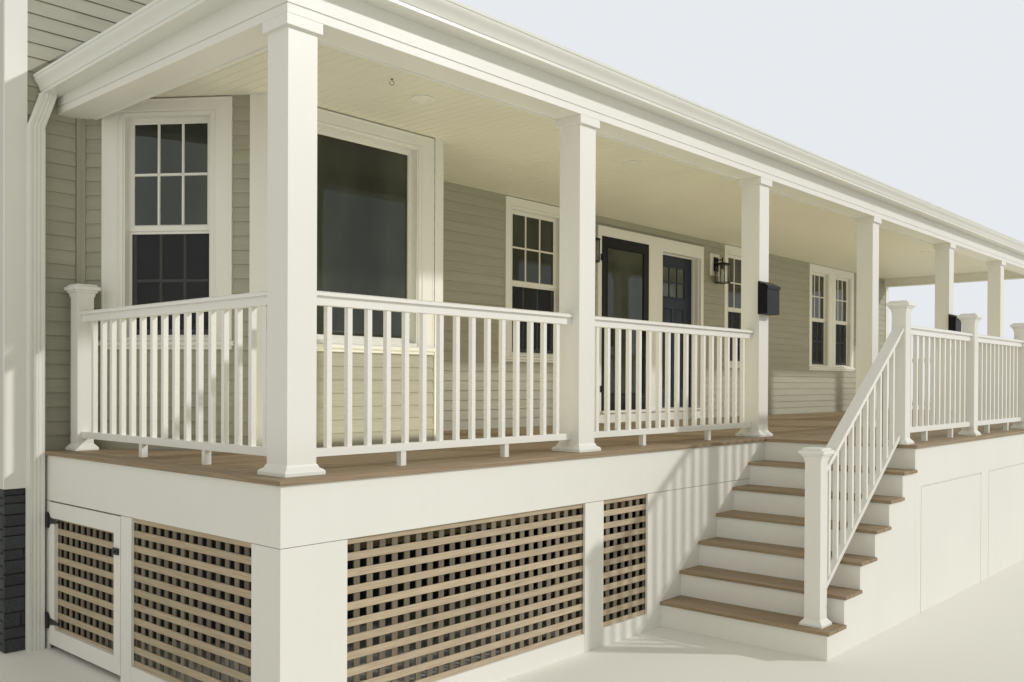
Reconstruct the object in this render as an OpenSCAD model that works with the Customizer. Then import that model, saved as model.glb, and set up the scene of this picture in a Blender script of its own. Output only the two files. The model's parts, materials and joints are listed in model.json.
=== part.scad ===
// Front porch of a two-door house: deck, stair, columns, roof and the wall behind it.
// Millimetres, +Z up. The drawing coordinates have x = 0 at the corner column's left
// face, y = 0 at the column fronts and z = 0 on the ground; site() centres the model.

/* [Deck and stair] */
// Number of risers between the ground and the deck
riser_n = 7; // [5:1:8]
// Height of one riser
riser_h = 198; // [170:1:205]
// Distance from one nosing to the next
tread_run = 279; // [250:1:310]
// How far a nosing stands proud of the riser below it
nosing = 20; // [15:1:35]
// Thickness of the deck boards
deck_t = 28; // [20:1:40]
// How far the deck's edge stands outside the column faces
deck_out = 140; // [110:1:180]
// Thickness of the white skirt boards
skirt_t = 20; // [15:1:30]
// Depth of the solid board at the top of the skirt
skirt_board_h = 317; // [260:1:400]
// Depth of the board at the foot of the skirt
skirt_foot_h = 130; // [80:1:200]
// How far the landing's front edge stands outside the column faces
landing_out = 1465; // [1200:5:1700]
// Depth of the joists
joist_h = 184; // [140:1:235]
// Thickness of joists, rims and stringers
joist_t = 38; // [30:1:50]
// Distance between joists
joist_pitch = 406; // [300:1:610]

/* [Columns and bays] */
// Width of the boxed columns
col_w = 185; // [140:1:250]
// Centre distance of columns 1 and 2
bay_1_w = 2440; // [2200:10:2700]
// Centre distance of columns 2 and 3
bay_2_w = 2680; // [2400:10:2900]
// Centre distance of columns 3 and 4
bay_3_w = 2700; // [2400:10:2900]
// Centre distance of columns 4 and 5
bay_4_w = 2670; // [2400:10:2900]
// Centre distance of columns 5 and 6
bay_5_w = 2420; // [2200:10:2700]
// Centre distance of columns 6 and 7
bay_6_w = 2730; // [2400:10:2900]
// Clear height from the deck to the beam
beam_z = 2388; // [2200:1:2600]
// Projection of the column's foot moulding
foot_out = 35; // [20:1:45]
// Projection of the collar under the beam
collar_out = 21; // [12:1:30]
// Height of the collar under the beam
collar_h = 59; // [40:1:90]

/* [Eaves and roof] */
// Height of the ceiling above the deck
ceiling_z = 2530; // [2480:1:2700]
// Width of the boxed beam
beam_w = 227; // [200:1:260]
// Overhang of the fascia outside the column faces
eave_out = 136; // [110:1:200]
// Height of the fascia board
fascia_h = 220; // [190:1:260]
// Width of the gutter
gutter_w = 124; // [100:1:150]
// Height of the gutter
gutter_h = 130; // [100:1:150]
// Rise of the roof for each unit of run
roof_pitch = 0.25; // [0.15:0.01:0.4]
// Thickness of the roof deck with its covering
roof_t = 40; // [30:1:60]

/* [Railings] */
// Height of the handrail above the deck
rail_top = 984; // [900:1:1100]
// Height of the gap under the bottom rail
rail_gap = 87; // [60:1:110]
// Width of a square baluster
baluster_w = 32; // [26:1:42]
// Greatest centre distance of the balusters
baluster_pitch = 145; // [120:1:160]
// Width of the newel posts
newel_w = 115; // [100:1:140]
// Height of the newel posts with their caps
newel_h = 1175; // [1050:1:1250]
// Height of the newel at the foot of the stair
foot_newel_h = 1235; // [1100:1:1300]

/* [House wall] */
// Distance from the column fronts to the house wall
wall_y = 2800; // [2600:10:3200]
// Thickness of the house wall
wall_t = 150; // [120:1:200]
// How far the house corner stands outside the first column
house_left_out = 380; // [300:10:600]
// Height of the masonry foundation
foundation_h = 1130; // [800:10:1150]
// Distance from the first column to the bay window
bay_x = 150; // [50:10:300]
// Width of the bay window's front
bay_front_w = 1680; // [1400:10:2000]
// Width that each slanted side of the bay takes along the wall
bay_side_w = 825; // [600:5:1000]
// Projection of the bay window from the wall
bay_depth = 1150; // [900:10:1300]
// Height of the window sills above the deck
sill_z = 780; // [700:5:1000]
// Height of the window heads above the deck
head_z = 2425; // [2200:5:2440]
// Projection of the flat casings
casing_t = 22; // [15:1:30]
// Width of the sash windows beside the doors
win_w = 870; // [700:10:950]
// Distance from the first column to the window left of the doors
win_2_x = 4795; // [4700:5:5100]
// Distance from the first column to the window right of the doors
win_3_x = 9525; // [9450:5:10200]
// Distance from the first column to the twin windows
win_4_x = 12370; // [11800:10:13200]
// Width of each of the twin windows
twin_w = 695; // [600:5:800]
// Width of the casing between the twin windows
twin_gap = 275; // [180:5:400]
// Distance from the first column to the left doorway
door_x = 6455; // [6300:5:6700]
// Width of the wall between the two doorways
door_mullion = 375; // [300:5:450]
// Height of the door sill above the deck
door_sill = 150; // [100:5:180]
// Width of an entry door
door_w = 930; // [800:5:960]
// Height of an entry door
door_h = 2078; // [1980:2:2100]
// Thickness of an entry door
door_t = 44; // [35:1:50]
// Projection of the door knobs
knob_out = 60; // [45:1:70]

/* [Lattice and gate] */
// Width of a lattice slat
slat_w = 42; // [30:1:50]
// Centre distance of the lattice slats
slat_pitch = 92; // [75:1:120]
// Thickness of a lattice slat
slat_t = 9; // [6:1:12]
// Width of the gate between the skirt posts
gate_w = 1095; // [900:5:1200]
// Distance of the gate's hinge side from the wall
gate_wall_gap = 105; // [90:5:150]

/* [Mailboxes and lamps] */
// Width of a mailbox
mailbox_w = 240; // [200:5:280]
// Depth of a mailbox
mailbox_d = 95; // [80:1:130]
// Height of a mailbox at its back
mailbox_h = 290; // [220:5:340]
// Height of the mailbox's foot above the deck
mailbox_z = 1130; // [1000:5:1300]
// Radius of the wall lanterns
lantern_r = 112; // [80:1:120]
// Radius of a ceiling light
downlight_r = 85; // [60:1:100]

/* [Hidden] */
$fn = 32;

// Levels and places that follow from the sizes above
eps = 1;
bays = [bay_1_w, bay_2_w, bay_3_w, bay_4_w, bay_5_w, bay_6_w];
deck_z = riser_n * riser_h;
function sum_to(v, i) = i <= 0 ? 0 : v[i - 1] + sum_to(v, i - 1);
function col_x(i) = sum_to(bays, i - 1);
porch_r = col_x(7) + col_w;
skirt_out = deck_out - nosing;
frame_top = deck_z - deck_t;
house_l = -house_left_out;
house_r = porch_r + collar_out;
wall_back = wall_y + wall_t;
gutter_out = eave_out + gutter_w;
mid_x = (house_l + porch_r + gutter_out) / 2;
mid_y = (wall_back + knob_out - landing_out) / 2;
landing_l = col_x(3) - deck_out;
newel_last = round(col_x(5) + col_w / 2);
landing_r = newel_last + deck_out;
fascia_bottom = ceiling_z - 10;
fascia_top = fascia_bottom + fascia_h;
fascia_t = 19;
function roof_under(u) = deck_z + fascia_top + roof_pitch * (eave_out - u);
wall_top = roof_under(-wall_y) + roof_t + 80;

// Moves the drawing coordinates so that the origin is at the middle of the base
module site() translate([-mid_x, -mid_y, 0]) children();

// A box given by its lowest and highest corners
module span(a, b) translate(a) cube(b - a);

// Extrudes a (y, z) outline along X
module run_x(x0, x1, outline)
    translate([x0, 0, 0]) rotate([90, 0, 90]) linear_extrude(height = x1 - x0) polygon(outline);

// Extrudes an (x, z) outline along Y
module run_y(y0, y1, outline)
    translate([0, y1, 0]) rotate([90, 0, 0]) linear_extrude(height = y1 - y0) polygon(outline);

// Square moulding whose half width follows steps of [half width, height]
module square_moulding(steps) {
    last = len(steps) - 1;
    outline = concat(steps, [for (i = [last:-1:0]) [-steps[i][0], steps[i][1]]]);
    reach = max([for (p = steps) p[0]]);
    intersection() {
        run_x(-reach, reach, outline);
        run_y(-reach, reach, outline);
    }
}

// Runs an outline of [distance outside the columns, height] round the three open
// sides of the porch, with mitred corners
module ring_run(outline) {
    reach = max([for (p = outline) p[0]]) + 10;
    front = [for (p = outline) [-p[0], p[1]]];
    left = [for (p = outline) [-p[0], p[1]]];
    right = [for (p = outline) [porch_r + p[0], p[1]]];
    intersection() {
        run_x(-reach, porch_r + reach, front);
        linear_extrude(height = wall_top)
            polygon([[-reach, -reach], [porch_r + reach, -reach],
                     [porch_r - wall_y, wall_y], [wall_y, wall_y]]);
    }
    intersection() {
        run_y(-reach, wall_y, left);
        linear_extrude(height = wall_top)
            polygon([[-reach, -reach], [wall_y, wall_y], [-reach, wall_y]]);
    }
    intersection() {
        run_y(-reach, wall_y, right);
        linear_extrude(height = wall_top)
            polygon([[porch_r + reach, -reach], [porch_r + reach, wall_y],
                     [porch_r - wall_y, wall_y]]);
    }
}

// Bay window outline, moved inwards by t
bay_l = bay_x + bay_side_w;
bay_r = bay_l + bay_front_w;
bay_end = bay_r + bay_side_w;
bay_front_y = wall_y - bay_depth;
bay_side_len = sqrt(bay_side_w * bay_side_w + bay_depth * bay_depth);
bay_angle = atan2(bay_depth, bay_side_w);
function bay_shift(t) = t * bay_side_len / bay_depth;
function bay_slope_x(y) = bay_side_w * (wall_y - y) / bay_depth;
function bay_plan(t, back) = [
    [bay_x + bay_slope_x(back) + bay_shift(t), back],
    [bay_x + bay_slope_x(bay_front_y + t) + bay_shift(t), bay_front_y + t],
    [bay_end - bay_slope_x(bay_front_y + t) - bay_shift(t), bay_front_y + t],
    [bay_end - bay_slope_x(back) - bay_shift(t), back]
];

// Deck floor, cut round the bay window
deck_edge_l = -deck_out;
deck_edge_r = porch_r + deck_out;
module deck_floor() color("peru") site() difference() {
    span([deck_edge_l, -deck_out, frame_top], [deck_edge_r, wall_y, deck_z]);
    translate([0, 0, frame_top - eps]) linear_extrude(height = deck_t + 2 * eps)
        polygon(bay_plan(0, wall_y + eps));
}

module landing_floor() color("peru") site()
    span([landing_l, -landing_out, frame_top], [landing_r, -deck_out, deck_z]);

// Joists, rims, ledger and the dropped beam that carries them
post_w = 140;
pier_r = 150;
pier_h = 120;
beam_drop = 235;
dropped_w = 76;
dropped_y = (col_w - dropped_w) / 2;
joist_z = frame_top - joist_h;
skirt_in = skirt_out - skirt_t;
landing_skirt_in = landing_out - nosing - skirt_t;
joist_last = floor((porch_r + skirt_in - joist_t) / joist_pitch);
module deck_frame() color("burlywood") site() {
    difference() {
        union() {
            span([-skirt_in, -skirt_in, joist_z], [porch_r + skirt_in, joist_t - skirt_in, frame_top]);
            span([-skirt_in, wall_y - joist_t, joist_z], [porch_r + skirt_in, wall_y, frame_top]);
            span([porch_r + skirt_in - joist_t, -skirt_in, joist_z],
                 [porch_r + skirt_in, wall_y, frame_top]);
            for (i = [0:joist_last])
                span([i * joist_pitch - skirt_in, -skirt_in, joist_z],
                     [i * joist_pitch - skirt_in + joist_t, wall_y, frame_top]);
            span([0, dropped_y, joist_z - beam_drop], [porch_r, dropped_y + dropped_w, joist_z + eps]);
        }
        translate([0, 0, joist_z - eps]) linear_extrude(height = joist_h + 2 * eps)
            polygon(bay_plan(-joist_t, wall_y + eps));
    }
    landing_joists();
}

landing_frame_l = landing_l + nosing + skirt_t;
landing_frame_r = landing_r - nosing - skirt_t;
landing_girder_h = 140;
landing_girder_y = joist_t + pier_r + 20 - landing_skirt_in;
landing_post_first = landing_frame_l + pier_r + 60;
landing_post_last = landing_frame_r - pier_r - 60;
landing_joist_last = floor((landing_frame_r - landing_frame_l - joist_t) / joist_pitch);
module landing_joists() {
    y0 = -landing_skirt_in;
    y1 = -skirt_out;
    span([landing_frame_l, y0, joist_z], [landing_frame_r, y0 + joist_t, frame_top]);
    span([landing_frame_l, y1 - joist_t, joist_z], [landing_frame_r, y1, frame_top]);
    span([landing_frame_r - joist_t, y0, joist_z], [landing_frame_r, y1, frame_top]);
    span([landing_frame_l, landing_girder_y - dropped_w / 2, joist_z - landing_girder_h],
         [landing_frame_r, landing_girder_y + dropped_w / 2, joist_z + eps]);
    for (i = [0:landing_joist_last])
        span([landing_frame_l + i * joist_pitch, y0, joist_z],
             [landing_frame_l + i * joist_pitch + joist_t, y1, frame_top]);
}

// Posts under the columns and the landing, on round piers
post_top = joist_z - beam_drop;
newel_inset = 163;
landing_rail_y = -(landing_out - newel_inset);
newel_first = round(landing_l + newel_w / 2 + 30);
function newel_x(i) = round(newel_first + i * (newel_last - newel_first) / 3);
module ground_post(x, y, top) {
    translate([x, y, 0]) cylinder(r = pier_r, h = pier_h);
    span([x - post_w / 2, y - post_w / 2, pier_h - eps], [x + post_w / 2, y + post_w / 2, top]);
}
module deck_posts() color("burlywood") site() {
    for (i = [1:7]) ground_post(col_x(i) + col_w / 2, col_w / 2, post_top);
    for (i = [0:3])
        ground_post(landing_post_first + i * (landing_post_last - landing_post_first) / 3,
                    landing_girder_y, joist_z - landing_girder_h);
}

// Skirts: a board with openings for the lattice panels
opening_top = frame_top - skirt_board_h;
opening_foot = skirt_foot_h;
skirt_end = 300;
skirt_stile = 75;
skirt_pier = 140;
stair_l = landing_l - (riser_n - 1) * tread_run;
front_open = [
    [skirt_end, col_x(2) - skirt_stile],
    [col_x(2) + skirt_pier, stair_l - skirt_pier - 30]
];
right_open = [
    [landing_r + skirt_stile, col_x(6) + col_w - skirt_pier],
    [col_x(6) + col_w + skirt_stile, porch_r - skirt_end]
];
gate_y1 = wall_y - gate_wall_gap;
gate_y0 = gate_y1 - gate_w;
side_open = [skirt_pier, gate_y0 - skirt_pier];
module skirt_hole_x(open, y)
    span([open[0], y - eps, opening_foot], [open[1], y + skirt_t + eps, opening_top]);
module front_skirt() color("white") site() difference() {
    span([-skirt_out, -skirt_out, 0], [porch_r + skirt_out, -skirt_in, frame_top]);
    for (o = concat(front_open, right_open)) skirt_hole_x(o, -skirt_out);
}
module side_skirts() color("white") site() {
    difference() {
        span([-skirt_out, -skirt_in, 0], [-skirt_in, wall_y, frame_top]);
        span([-skirt_out - eps, side_open[0], opening_foot], [eps - skirt_in, side_open[1], opening_top]);
        span([-skirt_out - eps, gate_y0, -eps], [eps - skirt_in, gate_y1, opening_top]);
    }
    difference() {
        span([porch_r + skirt_in, -skirt_in, 0], [porch_r + skirt_out, wall_y, frame_top]);
        span([porch_r + skirt_in - eps, side_open[0], opening_foot],
             [porch_r + skirt_out + eps, side_open[1], opening_top]);
    }
}

// Landing skirt: front with flush access panels marked by grooves, and both ends
groove_w = 10;
groove_d = 12;
panel_stile = 120;
landing_face = -(landing_out - nosing);
panel_w = (landing_frame_r - landing_frame_l) / 3;
module panel_groove(x0, x1) {
    z1 = opening_top;
    y0 = landing_face - eps;
    y1 = landing_face + groove_d;
    span([x0, y0, z1 - groove_w], [x1, y1, z1]);
    span([x0, y0, -eps], [x0 + groove_w, y1, z1]);
    span([x1 - groove_w, y0, -eps], [x1, y1, z1]);
}
module landing_skirt() color("white") site() {
    difference() {
        span([saw_end[0], landing_face, 0], [landing_r - nosing, landing_face + skirt_t, frame_top]);
        for (i = [0:2])
            panel_groove(landing_frame_l + i * panel_w + panel_stile,
                         landing_frame_l + (i + 1) * panel_w - panel_stile);
    }
    span([landing_r - nosing - skirt_t, landing_face + skirt_t, 0],
         [landing_r - nosing, -skirt_out, frame_top]);
}

// Square lattice of two crossing layers of slats, in the X-Z plane with its back at y = 0
module lattice(w, h) {
    nx = round((w - slat_w) / slat_pitch);
    nz = round((h - slat_w) / slat_pitch);
    px = (w - slat_w) / nx;
    pz = (h - slat_w) / nz;
    for (i = [0:nx]) span([i * px, -slat_t, 0], [i * px + slat_w, 0, h]);
    for (k = [0:nz]) span([0, -2 * slat_t + eps, k * pz], [w, eps - slat_t, k * pz + slat_w]);
}
lattice_lap = 25;
lattice_lap_z = 10;
lattice_h = opening_top - opening_foot + 2 * lattice_lap_z;
module lattice_x(open)
    translate([open[0] - lattice_lap, 2 * slat_t - skirt_in - eps, opening_foot - lattice_lap_z])
        lattice(open[1] - open[0] + 2 * lattice_lap, lattice_h);
module front_lattice_left() color("tan") site() for (o = front_open) lattice_x(o);
module front_lattice_right() color("tan") site() for (o = right_open) lattice_x(o);
module side_lattices() color("tan") site() {
    w = side_open[1] - side_open[0] + 2 * lattice_lap;
    translate([2 * slat_t - skirt_in - eps, side_open[1] + lattice_lap, opening_foot - lattice_lap_z])
        rotate([0, 0, -90]) lattice(w, lattice_h);
    translate([porch_r + skirt_in - 2 * slat_t + eps, side_open[0] - lattice_lap,
               opening_foot - lattice_lap_z])
        rotate([0, 0, 90]) lattice(w, lattice_h);
}

// Hinged lattice gate in the left skirt
gate_gap = 8;
gate_foot = 40;
gate_stile = 90;
gate_rail = 110;
leaf_y0 = gate_y0 + gate_gap;
leaf_y1 = gate_y1 - gate_gap;
leaf_top = opening_top - gate_gap;
leaf_t = 30;
module gate_frame() color("white") site() difference() {
    span([-skirt_out, leaf_y0, gate_foot], [leaf_t - skirt_out, leaf_y1, leaf_top]);
    span([-skirt_out - eps, leaf_y0 + gate_stile, gate_foot + gate_rail],
         [leaf_t - skirt_out + eps, leaf_y1 - gate_stile, leaf_top - gate_rail]);
}
module gate_lattice() color("tan") site()
    translate([leaf_t - skirt_out + 2 * slat_t - eps, leaf_y1 - gate_stile + lattice_lap,
               gate_foot + gate_rail - lattice_lap])
        rotate([0, 0, -90]) lattice(leaf_y1 - leaf_y0 - 2 * gate_stile + 2 * lattice_lap,
                                   leaf_top - gate_foot - 2 * gate_rail + 2 * lattice_lap);

// Surface hinge with its pin on Z at the origin. The faces it is screwed to lie at
// y = pin_off, the fixed half is on -X and the swinging half on +X, opening towards -Y.
pin_off = 10;
pin_r = 5;
barrel_r = 8;
pin_play = 0.5;
knuckle_h = 20;
plate_t = 5;
lug_w = 12;
module hinge_fixed(h, plate) {
    cylinder(r = pin_r, h = h);
    for (z = [0, h - knuckle_h]) {
        translate([0, 0, z]) cylinder(r = barrel_r, h = knuckle_h);
        span([-lug_w, 0, z], [-2, pin_off, z + knuckle_h]);
    }
    span([-plate, pin_off - plate_t, 0], [-barrel_r - pin_play, pin_off, h]);
}
module hinge_swing(h) {
    z0 = knuckle_h + 1;
    z1 = h - knuckle_h - 1;
    difference() {
        union() {
            translate([0, 0, z0]) cylinder(r = barrel_r, h = z1 - z0);
            span([2, 0, z0], [lug_w + 4, pin_off, z1]);
        }
        translate([0, 0, z0 - eps]) cylinder(r = pin_r + pin_play, h = z1 - z0 + 2 * eps);
    }
}
hinge_h = 110;
strap_l = 165;
gate_pin_y = gate_y1 - gate_gap / 2;
gate_hinge_z = [gate_foot + 105, leaf_top - 130 - hinge_h / 2];
module at_gate_hinges() for (z = gate_hinge_z)
    translate([-skirt_out - pin_off, gate_pin_y, z]) rotate([0, 0, -90]) children();
module gate_straps() color("dimgray") site() {
    at_gate_hinges() {
        hinge_swing(hinge_h);
        translate([0, pin_off, hinge_h / 2]) rotate([90, 0, 0]) linear_extrude(height = plate_t)
            polygon([[10, -hinge_h / 2], [10, hinge_h / 2], [34, 24], [strap_l, 9],
                     [strap_l, -9], [34, -24]]);
    }
    span([-skirt_out - 14, leaf_y0 + 12, leaf_top - 240], [-skirt_out, leaf_y0 + 80, leaf_top - 200]);
    span([-skirt_out - 24, leaf_y0 + 34, leaf_top - 228],
         [eps - skirt_out - 14, leaf_y0 + 52, leaf_top - 212]);
}
module gate_hinges() color("dimgray") site() at_gate_hinges() hinge_fixed(hinge_h, 70);

// Stair: sawtooth stringers with a closed outer face, risers and two-board treads
tread_t = 26;
function nose_x(k) = landing_l - (riser_n - k) * tread_run;
stair_face = -(landing_out - nosing);
stair_in = -skirt_out;
board_gap = 5;
riser_t = 19;
function saw(k) = [
    [nose_x(k) + nosing + riser_t, k * riser_h - tread_t],
    [nose_x(k + 1) + nosing + riser_t, k * riser_h - tread_t]
];
saw_top = [for (k = [1:riser_n - 1]) each saw(k)];
saw_end = [nose_x(riser_n) + nosing + riser_t, deck_z - deck_t];
function side_outline(foot) = concat(
    [[nose_x(1) + nosing + riser_t, 0]], saw_top,
    [[saw_end[0], foot]], foot > 0 ? [[nose_x(2) + tread_run, 0]] : []
);
carriage_foot = (riser_n - 3) * riser_h;
module stair_stringers() color("white") site() {
    run_y(stair_face, stair_face + skirt_t, side_outline(0));
    run_y((stair_face + stair_in) / 2 - joist_t / 2, (stair_face + stair_in) / 2 + joist_t / 2,
          side_outline(carriage_foot));
    run_y(stair_in - joist_t, stair_in, side_outline(carriage_foot));
}
module stair_risers() color("white") site() for (k = [1:riser_n]) {
    x = nose_x(k) + nosing;
    z1 = k < riser_n ? k * riser_h - tread_t : frame_top;
    z0 = k > 1 ? (k - 1) * riser_h - tread_t : 0;
    span([x, stair_face, z0], [x + riser_t, stair_in, z1]);
}
module stair_treads() color("peru") site() for (k = [1:riser_n - 1]) {
    x0 = nose_x(k);
    x1 = nose_x(k + 1) + nosing;
    w = (x1 - x0 - board_gap) / 2;
    z = k * riser_h;
    for (i = [0:1])
        span([x0 + i * (w + board_gap), -landing_out, z - tread_t],
             [x0 + i * (w + board_gap) + w, stair_in, z]);
}

// Boxed column with a flared foot and a collar under the beam
foot_h = 56;
module columns() color("white") site() for (i = [1:7]) {
    r = col_w / 2;
    translate([col_x(i) + r, r, deck_z]) square_moulding([
        [r + foot_out, 0], [r + foot_out, foot_h * 0.36], [r + foot_out * 0.8, foot_h * 0.5],
        [r + foot_out * 0.34, foot_h * 0.68], [r + foot_out * 0.12, foot_h], [r, foot_h],
        [r, beam_z - collar_h], [r + collar_out, beam_z - collar_h], [r + collar_out, beam_z]
    ]);
}

// Boxed beam with a shadow groove between its lower board and the frieze
lower_board = 47;
shadow = 7;
beam_in = beam_w - collar_out;
function beam_outline() = [
    [collar_out, deck_z + beam_z], [collar_out, deck_z + beam_z + lower_board],
    [collar_out - shadow, deck_z + beam_z + lower_board],
    [collar_out - shadow, deck_z + beam_z + lower_board + shadow],
    [collar_out, deck_z + beam_z + lower_board + shadow],
    [collar_out, roof_under(collar_out)], [-beam_in, roof_under(-beam_in)], [-beam_in, deck_z + beam_z]
];
beam_cut = 2 * beam_w;
module front_wedge() linear_extrude(height = wall_top)
    polygon([[-beam_cut, -beam_cut], [porch_r + beam_cut, -beam_cut],
             [porch_r - wall_y, wall_y], [wall_y, wall_y]]);
module front_beam() color("white") site() intersection() {
    ring_run(beam_outline());
    front_wedge();
}
module side_beams() color("white") site() difference() {
    ring_run(beam_outline());
    front_wedge();
    linear_extrude(height = deck_z + ceiling_z) polygon(bay_plan(0, wall_y + eps));
}

// Boarded ceiling between the beams and the wall
ceiling_t = 12;
module ceiling() color("ivory") site()
    span([beam_in, beam_in, deck_z + ceiling_z], [porch_r - beam_in, wall_y, deck_z + ceiling_z + ceiling_t]);

// Soffit and fascia
module cornice() color("white") site() {
    s = deck_z + ceiling_z;
    ring_run([
        [collar_out, s], [eave_out - fascia_t, s], [eave_out - fascia_t, deck_z + fascia_bottom],
        [eave_out, deck_z + fascia_bottom], [eave_out, roof_under(eave_out)],
        [eave_out - fascia_t, roof_under(eave_out - fascia_t)], [eave_out - fascia_t, s + ceiling_t],
        [collar_out, s + ceiling_t]
    ]);
}

// Open gutter with a moulded front
gutter_t = 3;
gutter_z = deck_z + fascia_top - gutter_h - 6;
function gutter_front(t) = [
    [eave_out + t, gutter_z + t], [eave_out + gutter_w * 0.62 - t * 0.4, gutter_z + t],
    [eave_out + gutter_w * 0.66 - t, gutter_z + gutter_h * 0.2],
    [eave_out + gutter_w * 0.7 - t, gutter_z + gutter_h * 0.42],
    [eave_out + gutter_w * 0.8 - t, gutter_z + gutter_h * 0.56],
    [eave_out + gutter_w * 0.93 - t, gutter_z + gutter_h * 0.68],
    [eave_out + gutter_w - t, gutter_z + gutter_h * 0.84],
    [eave_out + gutter_w - t, gutter_z + gutter_h]
];
gutter_end = wall_y - casing_t;
module gutter() color("whitesmoke") site() {
    outer = gutter_front(0);
    inner = gutter_front(gutter_t);
    difference() {
        ring_run(concat(
            [[eave_out + gutter_t, gutter_z + gutter_h], [eave_out, gutter_z + gutter_h]], outer,
            [for (i = [len(inner) - 1:-1:0]) inner[i]]
        ));
        span([-gutter_out - eps, gutter_end, gutter_z - eps],
             [porch_r + gutter_out + eps, wall_y + eps, gutter_z + gutter_h + eps]);
    }
    for (side = [-1, 1])
        run_y(gutter_end - gutter_t, gutter_end,
              [for (p = concat(outer, [[eave_out, gutter_z + gutter_h]]))
                  [side < 0 ? -p[0] : porch_r + p[0], p[1]]]);
}

// Rectangular downspout at the wall, from the end of the left gutter to the ground
spout_w = 96;
spout_d = 74;
spout_r = -max(eave_out, deck_out) - 2;
spout_back = wall_y - casing_t;
elbow_top = gutter_z - spout_d;
elbow_foot = elbow_top - 3.6 * spout_w;
elbow_y = spout_back - spout_d - 2 * spout_w;
module downspout() color("whitesmoke") site() {
    run_x(spout_r - spout_w, spout_r, [
        [elbow_y, gutter_z], [elbow_y, elbow_top], [spout_back - spout_d, elbow_foot],
        [spout_back - spout_d, 0], [spout_back, 0], [spout_back, elbow_foot], [elbow_y + spout_d, elbow_top],
        [elbow_y + spout_d, gutter_z]
    ]);
}

// Low hipped roof between the eaves and the wall
module roof() color("dimgray") site() {
    edge = eave_out + 14;
    ring_run([
        [edge, roof_under(edge)], [edge, roof_under(edge) + roof_t],
        [-wall_y, roof_under(-wall_y) + roof_t], [-wall_y, roof_under(-wall_y)]
    ]);
}

// Newel post with a flared foot, a cove and a shallow pyramid cap
cap_h = 62;
module newel(h) {
    r = newel_w / 2;
    square_moulding([
        [r + 26, 0], [r + 26, 16], [r + 18, 26], [r + 6, 40], [r, 48],
        [r, h - cap_h - 34], [r + 6, h - cap_h - 20], [r + 18, h - cap_h], [r + 34, h - cap_h],
        [r + 34, h - cap_h + 24], [r + 8, h - cap_h + 36], [0.5, h]
    ]);
}
rail_line = col_w / 2;
wall_newel_y = wall_y - newel_w / 2 - 97;
foot_newel_x = nose_x(1) + 95 + newel_w / 2;
module newel_posts() color("white") site() {
    for (x = [rail_line, porch_r - rail_line])
        translate([x, wall_newel_y, deck_z]) newel(newel_h);
    translate([foot_newel_x, landing_rail_y, riser_h]) newel(foot_newel_h);
    for (i = [0:3])
        translate([newel_x(i), landing_rail_y, deck_z]) newel(newel_h);
}

// Level railing along +X from 0 to l, with feet under the bottom rail
rail_w = 50;
cap_w = 90;
bottom_rail_h = 45;
top_rail_h = 50;
rail_cap_h = 26;
rail_bevel = 8;
module cap_section(l) run_x(0, l, [
    [-cap_w / 2, rail_top - rail_cap_h], [cap_w / 2, rail_top - rail_cap_h],
    [cap_w / 2, rail_top - rail_bevel], [cap_w / 2 - 2 * rail_bevel, rail_top],
    [2 * rail_bevel - cap_w / 2, rail_top], [-cap_w / 2, rail_top - rail_bevel]
]);
front_feet = [0.3, 0.7];
side_feet = [0.32, 0.645];
module level_rail(l, feet) {
    n = ceil(l / baluster_pitch);
    z1 = rail_top - rail_cap_h;
    half = rail_w / 2;
    b = baluster_w / 2;
    cap_section(l);
    span([0, -half, z1 - top_rail_h], [l, half, z1 + eps]);
    span([0, -half, rail_gap], [l, half, rail_gap + bottom_rail_h]);
    for (i = [1:n - 1])
        span([i * l / n - b, -b, rail_gap + bottom_rail_h - eps], [i * l / n + b, b, z1 - top_rail_h + eps]);
    for (f = feet) span([f * l - 20, -20, 0], [f * l + 20, 20, rail_gap + eps]);
}
module bay_rail(i) translate([col_x(i) + col_w, rail_line, deck_z])
    level_rail(bays[i - 1] - col_w, front_feet);
module front_rails() color("white") site() for (i = [1, 2, 5, 6]) bay_rail(i);
module side_rails() color("white") site() for (x = [rail_line, porch_r - rail_line])
    translate([x, col_w, deck_z]) rotate([0, 0, 90])
        level_rail(wall_newel_y - newel_w / 2 - col_w, side_feet);
module landing_rails() color("white") site() {
    for (i = [0:2])
        translate([newel_x(i) + newel_w / 2, landing_rail_y, deck_z])
            level_rail(newel_x(i + 1) - newel_x(i) - newel_w, front_feet);
    translate([newel_x(3), landing_rail_y + newel_w / 2, deck_z]) rotate([0, 0, 90])
        level_rail(-landing_rail_y - newel_w / 2, front_feet);
}

// Sloping railing between the foot newel and the first landing newel
slope = riser_h / tread_run;
stair_rail_x0 = foot_newel_x + newel_w / 2;
stair_rail_x1 = newel_x(0) - newel_w / 2;
stair_rail_foot = 32;
stair_rail_top = 935;
function nose_line(x) = riser_h + (x - nose_x(1)) * slope;
module sloped_bar(x0, x1, z0, z1, w) run_y(landing_rail_y - w / 2, landing_rail_y + w / 2, [
    [x0, nose_line(x0) + z0], [x1, nose_line(x1) + z0], [x1, nose_line(x1) + z1], [x0, nose_line(x0) + z1]
]);
module stair_rail() color("white") site() {
    l = stair_rail_x1 - stair_rail_x0;
    n = ceil(l / baluster_pitch);
    z1 = stair_rail_top - rail_cap_h;
    b = baluster_w / 2;
    sloped_bar(stair_rail_x0, stair_rail_x1, z1, stair_rail_top, cap_w);
    sloped_bar(stair_rail_x0, stair_rail_x1, z1 - top_rail_h, z1 + eps, rail_w);
    sloped_bar(stair_rail_x0, stair_rail_x1, stair_rail_foot, stair_rail_foot + bottom_rail_h, rail_w);
    for (i = [1:n - 1]) {
        x = stair_rail_x0 + i * l / n;
        sloped_bar(x - b, x + b, stair_rail_foot + bottom_rail_h - eps, z1 - top_rail_h + eps, baluster_w);
    }
}

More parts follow.
